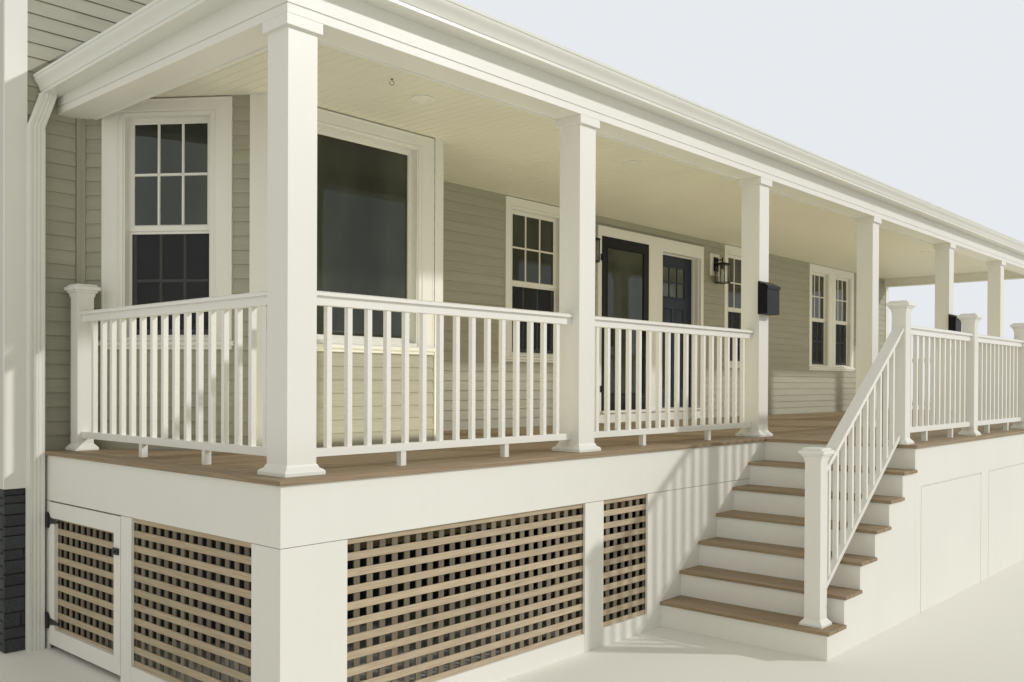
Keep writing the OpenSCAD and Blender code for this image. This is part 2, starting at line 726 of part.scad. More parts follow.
// Masonry foundation under the wall and the bay window
module foundation() color("slategray") site() {
    span([house_l, wall_y, 0], [house_r, wall_back, foundation_h]);
    difference() {
        linear_extrude(height = foundation_h) polygon(bay_plan(0, wall_y));
        translate([0, 0, -eps]) linear_extrude(height = foundation_h + 2 * eps)
            polygon(bay_plan(wall_t, wall_y + eps));
    }
}

// House wall, split beside and over the doorways
door_side_gap = 7;
door_clear = door_w + 2 * door_side_gap;
door_a = door_x;
door_b = door_a + door_clear + door_mullion;
door_head = door_sill + door_h + 12;
frame_side = 65;
rough_l = door_a - frame_side;
rough_r = door_b + door_clear + frame_side;
rough_top = deck_z + door_head + 60;
win_2 = [win_2_x, win_w];
win_3 = [win_3_x, win_w];
win_4 = [win_4_x, twin_w];
win_5 = [win_4_x + twin_w + twin_gap, twin_w];
bay_gap_l = bay_x + bay_shift(wall_t);
bay_gap_r = bay_end - bay_shift(wall_t);
module wall_hole(w)
    span([w[0], wall_y - eps, deck_z + sill_z], [w[0] + w[1], wall_back + eps, deck_z + head_z]);
module house_wall_left() color("lightgray") site() difference() {
    span([house_l, wall_y, foundation_h], [rough_l, wall_back, wall_top]);
    span([bay_gap_l, wall_y - eps, deck_z], [bay_gap_r, wall_back + eps, deck_z + ceiling_z]);
    wall_hole(win_2);
}
module house_wall_over_doors() color("lightgray") site() {
    span([rough_l, wall_y, rough_top], [rough_r, wall_back, wall_top]);
    span([rough_l, wall_y, foundation_h], [rough_r, wall_back, deck_z]);
}
module house_wall_right() color("lightgray") site() difference() {
    span([rough_r, wall_y, foundation_h], [house_r, wall_back, wall_top]);
    for (w = [win_3, win_4, win_5]) wall_hole(w);
}

corner_w = 150;
module corner_boards() color("white") site() {
    span([house_l, wall_y - casing_t, foundation_h], [house_l + corner_w, wall_y, wall_top]);
    span([porch_r - corner_w + collar_out, wall_y - casing_t, deck_z],
         [house_r, wall_y, deck_z + beam_z]);
}

// Bay wall: a three-sided shell with a window in each side
side_win = [311, 692];
hairline = 0.02;
front_win_inset = 250;
module on_left_side() translate([bay_x, wall_y, 0]) rotate([0, 0, -bay_angle])
    translate([0, -hairline, 0]) children();
module on_right_side() translate([bay_r, bay_front_y, 0]) rotate([0, 0, bay_angle])
    translate([0, -hairline, 0]) children();
module bay_hole(x, w) span([x, -eps - 5, deck_z + sill_z], [x + w, wall_t + 5, deck_z + head_z]);
module bay_wall() color("lightgray") site() difference() {
    translate([0, 0, foundation_h]) linear_extrude(height = deck_z + ceiling_z - foundation_h)
        difference() {
            polygon(bay_plan(0, wall_y));
            polygon(bay_plan(wall_t, wall_y + eps));
        }
    on_left_side() bay_hole(side_win[0], side_win[1]);
    on_right_side() bay_hole(bay_side_len - side_win[0] - side_win[1], side_win[1]);
    translate([bay_l, bay_front_y, 0]) bay_hole(front_win_inset, bay_front_w - 2 * front_win_inset);
}

// Window with flat casings; x = 0 at the left of its opening and y = 0 on the wall face
frame_w = 28;
sash_w = 42;
frame_d = 125;
sash_y = 45;
sash_t = 32;
glass_t = 6;
meet_h = 46;
sash_foot = 62;
apron_h = 60;
sill_h = 34;
sill_out = 22;
sill_horn = 15;
module ring_y(x0, x1, z0, z1, y0, y1, side, top, foot) difference() {
    span([x0, y0, z0], [x1, y1, z1]);
    span([x0 + side, y0 - eps, z0 + foot], [x1 - side, y1 + eps, z1 - top]);
}
module window_frame(w, cl, cr, ct) {
    z0 = deck_z + sill_z;
    z1 = deck_z + head_z;
    difference() {
        span([-cl, -casing_t, z0 - apron_h], [w + cr, 0, z1 + ct]);
        span([frame_w / 2, -casing_t - eps, z0 + frame_w / 2], [w - frame_w / 2, eps, z1 - frame_w / 2]);
    }
    span([-cl - sill_horn, -casing_t - sill_out, z0 - sill_h], [w + cr + sill_horn, -casing_t, z0]);
    ring_y(0, w, z0, z1, 0, frame_d, frame_w, frame_w, frame_w);
}
module double_hung(w, cl, cr, ct) {
    z0 = deck_z + sill_z + frame_w;
    z1 = deck_z + head_z - frame_w;
    zm = (z0 + z1) / 2;
    window_frame(w, cl, cr, ct);
    ring_y(frame_w - eps, w - frame_w + eps, zm - meet_h / 2, z1 + eps, sash_y, sash_y + sash_t,
           sash_w, sash_w, meet_h);
    ring_y(frame_w - eps, w - frame_w + eps, z0 - eps, zm + meet_h / 2,
           sash_y + sash_t - eps, sash_y + 2 * sash_t, sash_w, meet_h, sash_foot);
}
module double_hung_glass(w) {
    z0 = deck_z + sill_z + frame_w;
    z1 = deck_z + head_z - frame_w;
    zm = (z0 + z1) / 2;
    x0 = frame_w + sash_w - eps;
    upper_y = sash_y + (sash_t - glass_t) / 2;
    lower_y = upper_y + sash_t;
    span([x0, upper_y, zm + meet_h / 2], [w - x0, upper_y + glass_t, z1 - sash_w + eps]);
    span([x0, lower_y, z0 + sash_foot - eps], [w - x0, lower_y + glass_t, zm - meet_h / 2]);
}
fixed_t = 50;
module picture_window(w, c, ct) {
    window_frame(w, c, c, ct);
    ring_y(frame_w - eps, w - frame_w + eps, deck_z + sill_z + frame_w - eps,
           deck_z + head_z - frame_w + eps, sash_y, sash_y + fixed_t, sash_w, sash_w, sash_w);
}
module picture_glass(w) {
    x0 = frame_w + sash_w - eps;
    y0 = sash_y + (fixed_t - glass_t) / 2;
    span([x0, y0, deck_z + sill_z + frame_w + sash_w - eps],
         [w - x0, y0 + glass_t, deck_z + head_z - frame_w - sash_w + eps]);
}
casing_w = 95;
twin_casing = twin_gap / 2;
side_casing_w = 145;
front_casing_w = 155;
head_h = ceiling_z - head_z - 10;
front_win_w = bay_front_w - 2 * front_win_inset;
module bay_windows() color("white") site() {
    on_left_side() translate([side_win[0], 0, 0])
        double_hung(side_win[1], side_casing_w, side_casing_w, head_h);
    on_right_side() translate([bay_side_len - side_win[0] - side_win[1], 0, 0])
        double_hung(side_win[1], side_casing_w, side_casing_w, head_h);
    translate([bay_l + front_win_inset, bay_front_y, 0])
        picture_window(front_win_w, front_casing_w, head_h);
}
module wall_windows() color("white") site() for (w = [win_2, win_3, win_4, win_5])
    translate([w[0], wall_y, 0])
        double_hung(w[1], w == win_5 ? twin_casing : casing_w, w == win_4 ? twin_casing : casing_w, head_h);
module window_glass() color("darkslategray") site() {
    on_left_side() translate([side_win[0], 0, 0]) double_hung_glass(side_win[1]);
    on_right_side() translate([bay_side_len - side_win[0] - side_win[1], 0, 0])
        double_hung_glass(side_win[1]);
    translate([bay_l + front_win_inset, bay_front_y, 0]) picture_glass(front_win_w);
    for (w = [win_2, win_3, win_4, win_5])
        translate([w[0], wall_y, 0]) double_hung_glass(w[1]);
}

// Door frame for both doors, with jambs, stops, mullion and a raised sill
door_casing_t = 38;
storm_gap = 7;
storm_lap = 40;
door_lap = 15;
storm_head = door_head + 50;
door_casing_w = 75;
head_casing_h = 120;
threshold_out = 30;
lock_play = 6;
stop_w = 12;
module door_cut(x, y0, y1, grow, head)
    span([x - grow, y0, deck_z + door_sill], [x + door_clear + grow, y1, deck_z + head]);
module door_frame() color("white") site() difference() {
    union() {
        span([door_a - storm_lap - door_casing_w, wall_y - door_casing_t, deck_z],
             [door_b + door_clear + door_lap + door_casing_w, wall_y, deck_z + storm_head + head_casing_h]);
        span([rough_l, wall_y - eps, deck_z], [rough_r, wall_back, rough_top]);
        span([door_a - storm_lap, wall_y - door_casing_t - threshold_out, deck_z + door_sill - threshold_out],
             [door_b + door_clear + door_lap, wall_y, deck_z + door_sill]);
    }
    door_cut(door_a, wall_y - door_casing_t - eps, wall_y, storm_lap, storm_head);
    door_cut(door_b, wall_y - door_casing_t - eps, wall_y, door_lap, door_head);
    for (x = [door_a, door_b]) {
        door_cut(x, wall_y - 2 * eps, wall_back - door_t - storm_lap, 0, door_head);
        door_cut(x, wall_y - 2 * eps, wall_back + eps, -stop_w, door_head - stop_w);
        door_cut(x, wall_back - door_t - lock_play, wall_back + eps, 0, door_head);
    }
}

// Full-glass storm door, hinged at its left side
storm_l = door_a - storm_lap + storm_gap;
storm_r = door_a + door_clear + storm_lap - storm_gap;
storm_z0 = deck_z + door_sill + storm_gap;
storm_z1 = deck_z + storm_head - storm_gap;
storm_t = 30;
storm_back = wall_y - door_casing_t + storm_t;
storm_stile = 110;
storm_foot = 200;
storm_hinge_h = 80;
storm_h = storm_z1 - storm_z0;
storm_hinge_z = [2 * storm_stile, (storm_h - storm_hinge_h) / 2, storm_h - storm_hinge_h - 2 * storm_stile];
grip_z = 0.405 * storm_h;
grip_h = 200;
grip_mid = storm_z0 + grip_z + grip_h / 2;
grip_x = storm_r - storm_stile / 2;
module at_storm_hinges() for (z = storm_hinge_z)
    translate([storm_l - storm_gap / 2, wall_y - door_casing_t - pin_off, storm_z0 + z]) children();
module storm_door() color("black") site() {
    at_storm_hinges() {
        hinge_swing(storm_hinge_h);
        span([barrel_r, pin_off - 3, knuckle_h + 1], [42, pin_off, storm_hinge_h - knuckle_h - 1]);
    }
    ring_y(storm_l, storm_r, storm_z0, storm_z1, storm_back - storm_t, storm_back,
           storm_stile, storm_stile + 10, storm_foot);
    span([grip_x - 20, storm_back - storm_t - 12, storm_z0 + grip_z],
         [grip_x + 20, storm_back - storm_t + eps, storm_z0 + grip_z + grip_h]);
    span([grip_x - 7, storm_back - storm_t - 50, grip_mid - 10],
         [grip_x + 7, storm_back - storm_t - 11, grip_mid + 10]);
    span([grip_x - storm_stile + 15, storm_back - storm_t - 58, grip_mid - 12],
         [grip_x + 9, storm_back - storm_t - 46, grip_mid + 12]);
}
module storm_glass() color("darkslategray") site()
    span([storm_l + storm_stile, storm_back - 18, storm_z0 + storm_foot],
         [storm_r - storm_stile, storm_back - 12, storm_z1 - storm_stile - 10]);

// Entry door with a lite panel above two tall panels; hinge_side is -1 left or 1 right
lite_w = 560;
lite_h = 400;
lite_cols = 3;
lite_rows = 2;
lite_bar = 22;
lite_drop = 160;
door_recess = 12;
door_hinge_h = 100;
door_hinge_z = [0.09 * door_h, (door_h - door_hinge_h) / 2, 0.91 * door_h - door_hinge_h];
panel_foot = 230;
panel_gap = 60;
knob_z = 900;
knob_in = 65;
module door_panels(y0, y1) {
    lite_x = (door_w - lite_w) / 2;
    lite_z = door_h - lite_drop - lite_h;
    cw = (lite_w - (lite_cols - 1) * lite_bar) / lite_cols;
    ch = (lite_h - (lite_rows - 1) * lite_bar) / lite_rows;
    for (c = [0:lite_cols - 1], r = [0:lite_rows - 1])
        span([lite_x + c * (cw + lite_bar), y0, lite_z + r * (ch + lite_bar)],
             [lite_x + c * (cw + lite_bar) + cw, y1, lite_z + r * (ch + lite_bar) + ch]);
    for (c = [0:1])
        span([lite_x + c * (lite_w + panel_gap) / 2, y0, panel_foot],
             [lite_x + c * (lite_w + panel_gap) / 2 + (lite_w - panel_gap) / 2, y1, lite_z - lite_drop]);
}
module knob(x, z) for (s = [-1, 1])
    translate([x, s > 0 ? door_t - eps : eps, z]) rotate([-90 * s, 0, 0]) {
        cylinder(r = 28, h = 8);
        cylinder(r = 9, h = knob_out - 12);
        translate([0, 0, knob_out - 35]) cylinder(r = 26, h = 35 + eps);
    }
module entry_door(x, hinge_side)
    translate([x + door_side_gap, wall_back - door_t, deck_z + door_sill + lock_play]) {
        difference() {
            cube([door_w, door_t, door_h]);
            door_panels(-eps, door_recess);
            door_panels(door_t - door_recess, door_t + eps);
        }
        knob(hinge_side < 0 ? door_w - knob_in : knob_in, knob_z);
        for (z = door_hinge_z) translate([hinge_side < 0 ? -door_side_gap / 2 : door_w + door_side_gap / 2,
                                          door_t + pin_off, z])
            if (hinge_side < 0) mirror([0, 1, 0]) hinge_swing(door_hinge_h);
            else rotate([0, 0, 180]) hinge_swing(door_hinge_h);
    }
module door_hinges() color("dimgray") site() {
    at_storm_hinges() hinge_fixed(storm_hinge_h, 34);
    for (z = door_hinge_z) {
        translate([door_a + door_side_gap / 2, wall_back + pin_off, deck_z + door_sill + lock_play + z])
            mirror([0, 1, 0]) hinge_fixed(door_hinge_h, 40);
        translate([door_b + door_clear - door_side_gap / 2, wall_back + pin_off,
                   deck_z + door_sill + lock_play + z])
            rotate([0, 0, 180]) hinge_fixed(door_hinge_h, 40);
    }
}
module entry_door_left() color("darkslategray") site() entry_door(door_a, -1);
module entry_door_right() color("midnightblue") site() entry_door(door_b, 1);

// Two wall lanterns on blocks: a barred glass cylinder that hangs from an arm
lantern_x = [
    door_a - storm_lap - door_casing_w - 285,
    door_b + door_clear + door_lap + door_casing_w + 345
];
lantern_z = deck_z + 1922;
lantern_out = 138;
lantern_h = 262;
lantern_bars = 12;
lantern_bar = 8;
lantern_ring_h = 12;
lantern_glass_r = lantern_r - 14;
lantern_glass_t = 4;
lantern_cap_h = 38;
lantern_stem_h = 52;
block_w = 250;
block_t = 30;
block_z = [112, 428];
plate_w = 128;
plate_z = [178, 378];
arm_w = 16;
module lantern() {
    top = lantern_h + lantern_ring_h;
    span([-block_w / 2, -block_t, block_z[0]], [block_w / 2, 0, block_z[1]]);
    span([-plate_w / 2, -block_t - lantern_ring_h, plate_z[0]], [plate_w / 2, eps - block_t, plate_z[1]]);
    span([-arm_w / 2, -lantern_out - arm_w / 2, top + lantern_stem_h],
         [arm_w / 2, -block_t - lantern_ring_h + eps, top + lantern_stem_h + arm_w]);
    translate([0, -lantern_out, 0]) {
        difference() {
            cylinder(r = lantern_r, h = lantern_ring_h);
            translate([0, 0, -eps])
                cylinder(r = lantern_glass_r - lantern_glass_t, h = lantern_ring_h + 2 * eps);
        }
        difference() {
            cylinder(r = lantern_glass_r, h = lantern_h + eps);
            translate([0, 0, -eps]) cylinder(r = lantern_glass_r - lantern_glass_t, h = lantern_h + eps);
        }
        for (i = [0:lantern_bars - 1]) rotate([0, 0, (i + 0.5) * 360 / lantern_bars])
            translate([lantern_r - lantern_bar - 1, -lantern_bar / 2, lantern_ring_h - eps])
                cube([lantern_bar, lantern_bar, lantern_h - lantern_ring_h + 2 * eps]);
        translate([0, 0, lantern_h]) cylinder(r = lantern_r + 6, h = lantern_ring_h);
        translate([0, 0, top - eps]) cylinder(r1 = lantern_r, r2 = arm_w, h = lantern_cap_h - lantern_ring_h);
        translate([0, 0, top]) cylinder(r = arm_w / 2, h = lantern_stem_h + eps);
    }
}
module wall_lantern() color("black") site() for (x = lantern_x)
    translate([x, wall_y, lantern_z]) lantern();

// Mailbox on a column: an open box with a sloping top, and its hinged lid
mailbox_wall = 3;
mailbox_front = mailbox_h - 38;
lid_pin = [-12, 9];
lid_pin_r = 2.5;
lid_barrel_r = 4.5;
lid_t = 3;
lid_over = 6;
lid_ear = 20;
function mailbox_x(i) = col_x(i) + (col_w - mailbox_w) / 2;
module rod(x0, x1, r) translate([x0, lid_pin[0], mailbox_h + lid_pin[1]]) rotate([0, 90, 0])
    cylinder(r = r, h = x1 - x0);
module mailbox(i) translate([mailbox_x(i), 0, deck_z + mailbox_z]) {
    difference() {
        run_x(0, mailbox_w, [[-mailbox_d, 0], [0, 0], [0, mailbox_h], [-mailbox_d, mailbox_front]]);
        run_x(mailbox_wall, mailbox_w - mailbox_wall, [
            [mailbox_wall - mailbox_d, mailbox_wall], [-mailbox_wall, mailbox_wall],
            [-mailbox_wall, mailbox_h + eps], [mailbox_wall - mailbox_d, mailbox_h + eps]
        ]);
    }
    rod(0, mailbox_w, lid_pin_r);
    for (x = [0, mailbox_w - lid_ear]) {
        rod(x, x + lid_ear, lid_barrel_r);
        span([x, lid_pin[0], mailbox_h - 8], [x + lid_ear, 0, mailbox_h + lid_pin[1]]);
    }
}
lid_front = -mailbox_d - lid_over;
lid_drop = mailbox_front - mailbox_h + 5;
module mailbox_lid(i) translate([mailbox_x(i), 0, deck_z + mailbox_z]) difference() {
    union() {
        rod(lid_ear + 1, mailbox_w - lid_ear - 1, lid_barrel_r);
        translate([0, 0, mailbox_h]) {
            run_x(lid_ear + 1, mailbox_w - lid_ear - 1, [
                [lid_pin[0] - 3, lid_pin[1] - 4], [lid_pin[0] - 3, lid_pin[1] + lid_barrel_r],
                [lid_pin[0] - 14, lid_pin[1] + 1], [lid_pin[0] - 14, lid_pin[1] - 8]
            ]);
            run_x(-lid_over, mailbox_w + lid_over, [
                [lid_pin[0] - 11, lid_pin[1] - lid_t], [lid_pin[0] - 11, lid_pin[1] + 2],
                [lid_front - 2, lid_drop + lid_t], [lid_front - 2, lid_drop - 26],
                [lid_front, lid_drop - 26], [lid_front, lid_drop]
            ]);
        }
    }
    rod(lid_ear, mailbox_w - lid_ear, lid_pin_r + pin_play);
}
module mailboxes() color("black") site() for (i = [3, 5]) mailbox(i);
module mailbox_lid_left() color("black") site() mailbox_lid(3);
module mailbox_lid_right() color("black") site() mailbox_lid(5);

// Round trims of the ceiling lights, one in each bay
light_y = 900;
module ceiling_lights() color("white") site() for (i = [1:6])
    translate([col_x(i) + bays[i - 1] * 0.72, light_y, deck_z + ceiling_z - 8]) difference() {
        cylinder(r = downlight_r, h = 8);
        translate([0, 0, -eps]) cylinder(r = downlight_r - 22, h = 6 + eps);
    }

deck_floor();
landing_floor();
deck_frame();
deck_posts();
front_skirt();
side_skirts();
landing_skirt();
front_lattice_left();
front_lattice_right();
side_lattices();
gate_frame();
gate_lattice();
gate_straps();
gate_hinges();
stair_stringers();
stair_risers();
stair_treads();
columns();
front_beam();
side_beams();
ceiling();
cornice();
gutter();
downspout();
roof();
newel_posts();
front_rails();
side_rails();
stair_rail();
landing_rails();
foundation();
house_wall_left();
house_wall_over_doors();
house_wall_right();
corner_boards();
bay_wall();
bay_windows();
wall_windows();
window_glass();
door_frame();
door_hinges();
storm_door();
storm_glass();
entry_door_left();
entry_door_right();
wall_lantern();
mailboxes();
mailbox_lid_left();
mailbox_lid_right();
ceiling_lights();
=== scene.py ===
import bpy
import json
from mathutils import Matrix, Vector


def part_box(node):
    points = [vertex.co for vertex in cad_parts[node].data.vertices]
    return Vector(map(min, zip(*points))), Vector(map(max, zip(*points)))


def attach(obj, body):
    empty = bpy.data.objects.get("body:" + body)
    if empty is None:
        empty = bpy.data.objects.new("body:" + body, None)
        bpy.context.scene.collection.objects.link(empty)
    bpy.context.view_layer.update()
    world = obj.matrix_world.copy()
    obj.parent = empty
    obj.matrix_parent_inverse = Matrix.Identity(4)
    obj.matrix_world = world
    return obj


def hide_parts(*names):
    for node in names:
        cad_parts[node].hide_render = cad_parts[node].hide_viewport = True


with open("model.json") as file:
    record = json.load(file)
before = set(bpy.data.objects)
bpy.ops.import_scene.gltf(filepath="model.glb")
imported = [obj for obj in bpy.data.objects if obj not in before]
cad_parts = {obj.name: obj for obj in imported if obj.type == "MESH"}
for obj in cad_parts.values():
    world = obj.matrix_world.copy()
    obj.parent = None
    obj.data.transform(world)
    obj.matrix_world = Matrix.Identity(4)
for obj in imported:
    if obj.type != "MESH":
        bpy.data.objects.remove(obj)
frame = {"nodes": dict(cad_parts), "record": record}

"""Looks of the front porch: boards, siding, shingles, glazing bars, mouldings and materials.

Sizes are metres in the drawing's coordinates: x = 0 at the corner column's left face, y = 0 at
the column fronts, z = 0 on the ground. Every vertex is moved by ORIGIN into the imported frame.
"""
import json
import math
import random

import bmesh
import bpy
from mathutils import Matrix, Vector

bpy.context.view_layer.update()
NODES = frame["nodes"]
RECORD = frame["record"]
BODY_OF = {n: b for b, ns in RECORD["behaviour"]["bodies"].items() for n in ns}
SLOT_OF = {row["node"]: row["material_slot"] for row in RECORD["subparts"]}
ROOT = "porch"

# Driving sizes, the same as in the part's source, but for the eave, which was measured later
DECK_Z = 1.386
DECK_T = 0.028
DECK_OUT = 0.140
COL_W = 0.185
BAY_WIDTHS = (2.440, 2.680, 2.700, 2.670, 2.420, 2.730)
FOOT_OUT = 0.035
COL_X = [sum(BAY_WIDTHS[:i]) for i in range(7)]
PORCH_R = COL_X[6] + COL_W
LANDING_OUT = 1.465
LANDING_L = COL_X[2] - DECK_OUT
LANDING_R = COL_X[4] + COL_W / 2 + DECK_OUT
RISER_H = 0.198
RISERS = 7
TREAD_RUN = 0.279
TREAD_T = 0.026
NOSING = 0.020
SKIRT_OUT = DECK_OUT - NOSING
SKIRT_T = 0.020
SKIRT_IN = SKIRT_OUT - SKIRT_T
NEWEL_W = 0.115
WALL_Y = 2.800
WALL_T = 0.150
HOUSE_L = -0.380
HOUSE_R = PORCH_R + 0.021
FOUNDATION_H = 1.130
CORNER_W = 0.150
CEILING_Z = DECK_Z + 2.530
CEILING_T = 0.012
BEAM_Z = DECK_Z + 2.388
BEAM_IN = 0.206
FRIEZE_OUT = 0.021
ROOF_EDGE = -0.050
ROOF_EDGE_Z = DECK_Z + 2.772
ROOF_PITCH = 0.2603
ROOF_T = 0.040
BAY_X = 0.150
BAY_SIDE_W = 0.825
BAY_FRONT_W = 1.680
BAY_DEPTH = 1.150
BAY_FRONT_Y = WALL_Y - BAY_DEPTH
BAY_L = BAY_X + BAY_SIDE_W
BAY_R = BAY_L + BAY_FRONT_W
BAY_END = BAY_R + BAY_SIDE_W
SILL_Z = DECK_Z + 0.780
HEAD_Z = DECK_Z + 2.425
CASING_T = 0.022

# The drawing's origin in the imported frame: the first column's foot starts FOOT_OUT outside it
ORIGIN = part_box("columns")[0] + Vector((FOOT_OUT, FOOT_OUT, -DECK_Z))
RNG = random.Random(7)
MERGE = 1e-5
FLAT = math.radians(0.5)
SHARP = math.radians(35)


def place(point):
    """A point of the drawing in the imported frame."""
    return Vector(point) + ORIGIN


def between(bounds):
    """A random value, given the least one and the spread above it."""
    return bounds[0] + bounds[1] * RNG.random()


def moved(*point):
    return Matrix.Translation(point)


def turned_z(angle):
    return Matrix.Rotation(angle, 4, "Z")


# Mesh helpers

class Solid:
    """Collects closed shapes, each with its own grain direction, and makes one piece of them."""

    def __init__(self, matrix=None):
        self.points, self.faces, self.grain = [], [], []
        self.matrix = matrix or Matrix.Identity(4)

    def loft(self, rings, along=2, tone=None, closed=False, shift=(0.0, 0.0)):
        """Joins rings of equal length and closes both ends, or joins the last to the first."""
        tone = RNG.random() if tone is None else tone
        base, n, last = len(self.points), len(rings[0]), len(rings) - 1
        for ring in rings:
            for point in ring:
                across = sum(point) - point[along]
                self.grain.append((point[along] + shift[0], across + shift[1], tone))
                self.points.append(self.matrix @ Vector(point))
        if not closed:
            self.faces.append([base + i for i in range(n)][::-1])
            self.faces.append([base + last * n + i for i in range(n)])
        for k in range(last + closed):
            here, there = base + k * n, base + (k + 1) % len(rings) * n
            for i in range(n):
                j = (i + 1) % n
                self.faces.append([here + i, here + j, there + j, there + i])

    def prism(self, outline, axis, start, end, along=None, tone=None):
        """Extrudes an outline of the two other axes, in order, from start to end along axis."""
        tone = RNG.random() if tone is None else tone
        shift = Vector((RNG.random() * 9, RNG.random() * 9))
        rings = []
        for level in (start, end):
            levels = level if isinstance(level, (list, tuple)) else [level] * len(outline)
            rings.append([(*uv[:axis], w, *uv[axis:]) for uv, w in zip(outline, levels)])
        self.loft(rings, axis if along is None else along, tone, shift=shift)

    def box(self, low, high, along=0, tone=None):
        outline = rectangle(low[1], high[1], low[2], high[2])
        self.prism(outline, 0, low[0], high[0], along, tone)

    def turned(self, profile, centre=(0, 0, 0), axis=2, sides=32, closed=False):
        """Turns a profile of (radius, distance along the axis) round an axis through centre."""
        u, v = (i for i in range(3) if i != axis)
        rings = []
        for radius, level in profile:
            ring = []
            for i in range(sides):
                angle = 2 * math.pi * i / sides
                point = list(centre)
                point[u] += radius * math.cos(angle)
                point[v] += radius * math.sin(angle)
                point[axis] += level
                ring.append(point)
            rings.append(ring)
        self.loft(rings, axis, closed=closed)

    def stepped(self, edges, steps, along=2):
        """A block with edges (x0, x1, z0, z1) that step inwards; steps are (inset, y)."""
        rings = [[(x, y, z) for x, z in rectangle(*shrunk(edges, inset))] for inset, y in steps]
        self.loft(rings, along)

    def mitred(self, opening, widths, profile):
        """Moulding round an opening of the X-Z plane, mitred at the corners.

        The profile has points of (share of the member's width from the inner edge, y); widths
        are those of the left, right, top and foot members, and 0 leaves the foot out.
        """
        x0, x1, z0, z1 = opening
        left, right, top, foot = widths
        shares, depths = zip(*profile)
        a, b = [x0 - left * t for t in shares], [x1 + right * t for t in shares]
        low, high = [z0 - foot * t for t in shares], [z1 + top * t for t in shares]
        for side in (a, b):
            self.prism(list(zip(side, depths)), 2, low, high)
        for end in (high, low) if foot else (high,):
            self.prism(list(zip(depths, end)), 0, a, b)

    def make(self, name, slot, bevel=0.0, segments=2, replaces=(), body=ROOT, material=None):
        mesh = bpy.data.meshes.new(name)
        mesh.from_pydata([place(p) for p in self.points], [], self.faces)
        grain = mesh.attributes.new("grain", "FLOAT_VECTOR", "POINT")
        grain.data.foreach_set("vector", [c for g in self.grain for c in g])
        edit(mesh, lambda bm: bmesh.ops.recalc_face_normals(bm, faces=bm.faces))
        as_piece(name, mesh, material or SLOT_MATERIAL[slot], body, bevel, segments, replaces)


def merge_flat(bm):
    """Joins the corners of CAD triangles and the triangles of each flat face."""
    bmesh.ops.remove_doubles(bm, verts=bm.verts, dist=MERGE)
    bmesh.ops.dissolve_limit(bm, angle_limit=FLAT, verts=bm.verts, edges=bm.edges)


def edit(mesh, step):
    bm = bmesh.new()
    bm.from_mesh(mesh)
    step(bm)
    bm.to_mesh(mesh)
    bm.free()


def mm(*points):
    """Points given in millimetres."""
    return [tuple(v / 1000 for v in point) for point in points]


def shrunk(edges, by):
    x0, x1, z0, z1 = edges
    return x0 + by, x1 - by, z0 + by, z1 - by


def rectangle(a, b, low, high):
    return [(a, low), (b, low), (b, high), (a, high)]


def linked(name, data):
    """A new object in the scene."""
    item = bpy.data.objects.new(name, data)
    bpy.context.scene.collection.objects.link(item)
    return item


def as_piece(name, mesh, material, body, bevel, segments, replaces):
    """Links a mesh as a piece that rides on a body, with its edges rounded."""
    piece = linked(name, mesh)
    mesh.materials.append(material)
    if bevel:
        edges = piece.modifiers.new("edges", "BEVEL")
        edges.width, edges.segments = bevel, segments
        edges.limit_method, edges.angle_limit = "ANGLE", SHARP
        edges.harden_normals = True
        mesh.shade_smooth()
    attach(piece, body)
    if replaces:
        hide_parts(*replaces)


def softened(node, bevel):
    """Replaces a CAD node by the same shape with rounded edges."""
    mesh = NODES[node].data.copy()
    mesh.materials.clear()
    if "custom_normal" in mesh.attributes:
        mesh.attributes.remove(mesh.attributes["custom_normal"])
    edit(mesh, merge_flat)
    slot = SLOT_OF[node]
    as_piece(node + "_soft", mesh, SLOT_MATERIAL[slot], BODY_OF[node], bevel, 2, [node])


# Materials

class Nodes:
    """The node tree of a material or a world."""

    def __init__(self, owner):
        owner.use_nodes = True
        self.tree = owner.node_tree

    def put(self, kind, settings=None, **inputs):
        """Adds a node; inputs are values or sockets, by name with _ for a space, or i0, i1 ..."""
        node = self.tree.nodes.new("ShaderNode" + kind)
        for key, value in (settings or {}).items():
            setattr(node, key, value)
        self.feed(node, inputs)
        return node

    def feed(self, node, inputs):
        for key, value in inputs.items():
            numbered = key[0] == "i" and key[1:].isdigit()
            socket = node.inputs[int(key[1:]) if numbered else key.replace("_", " ")]
            if isinstance(value, bpy.types.NodeSocket):
                self.tree.links.new(value, socket)
            else:
                socket.default_value = value


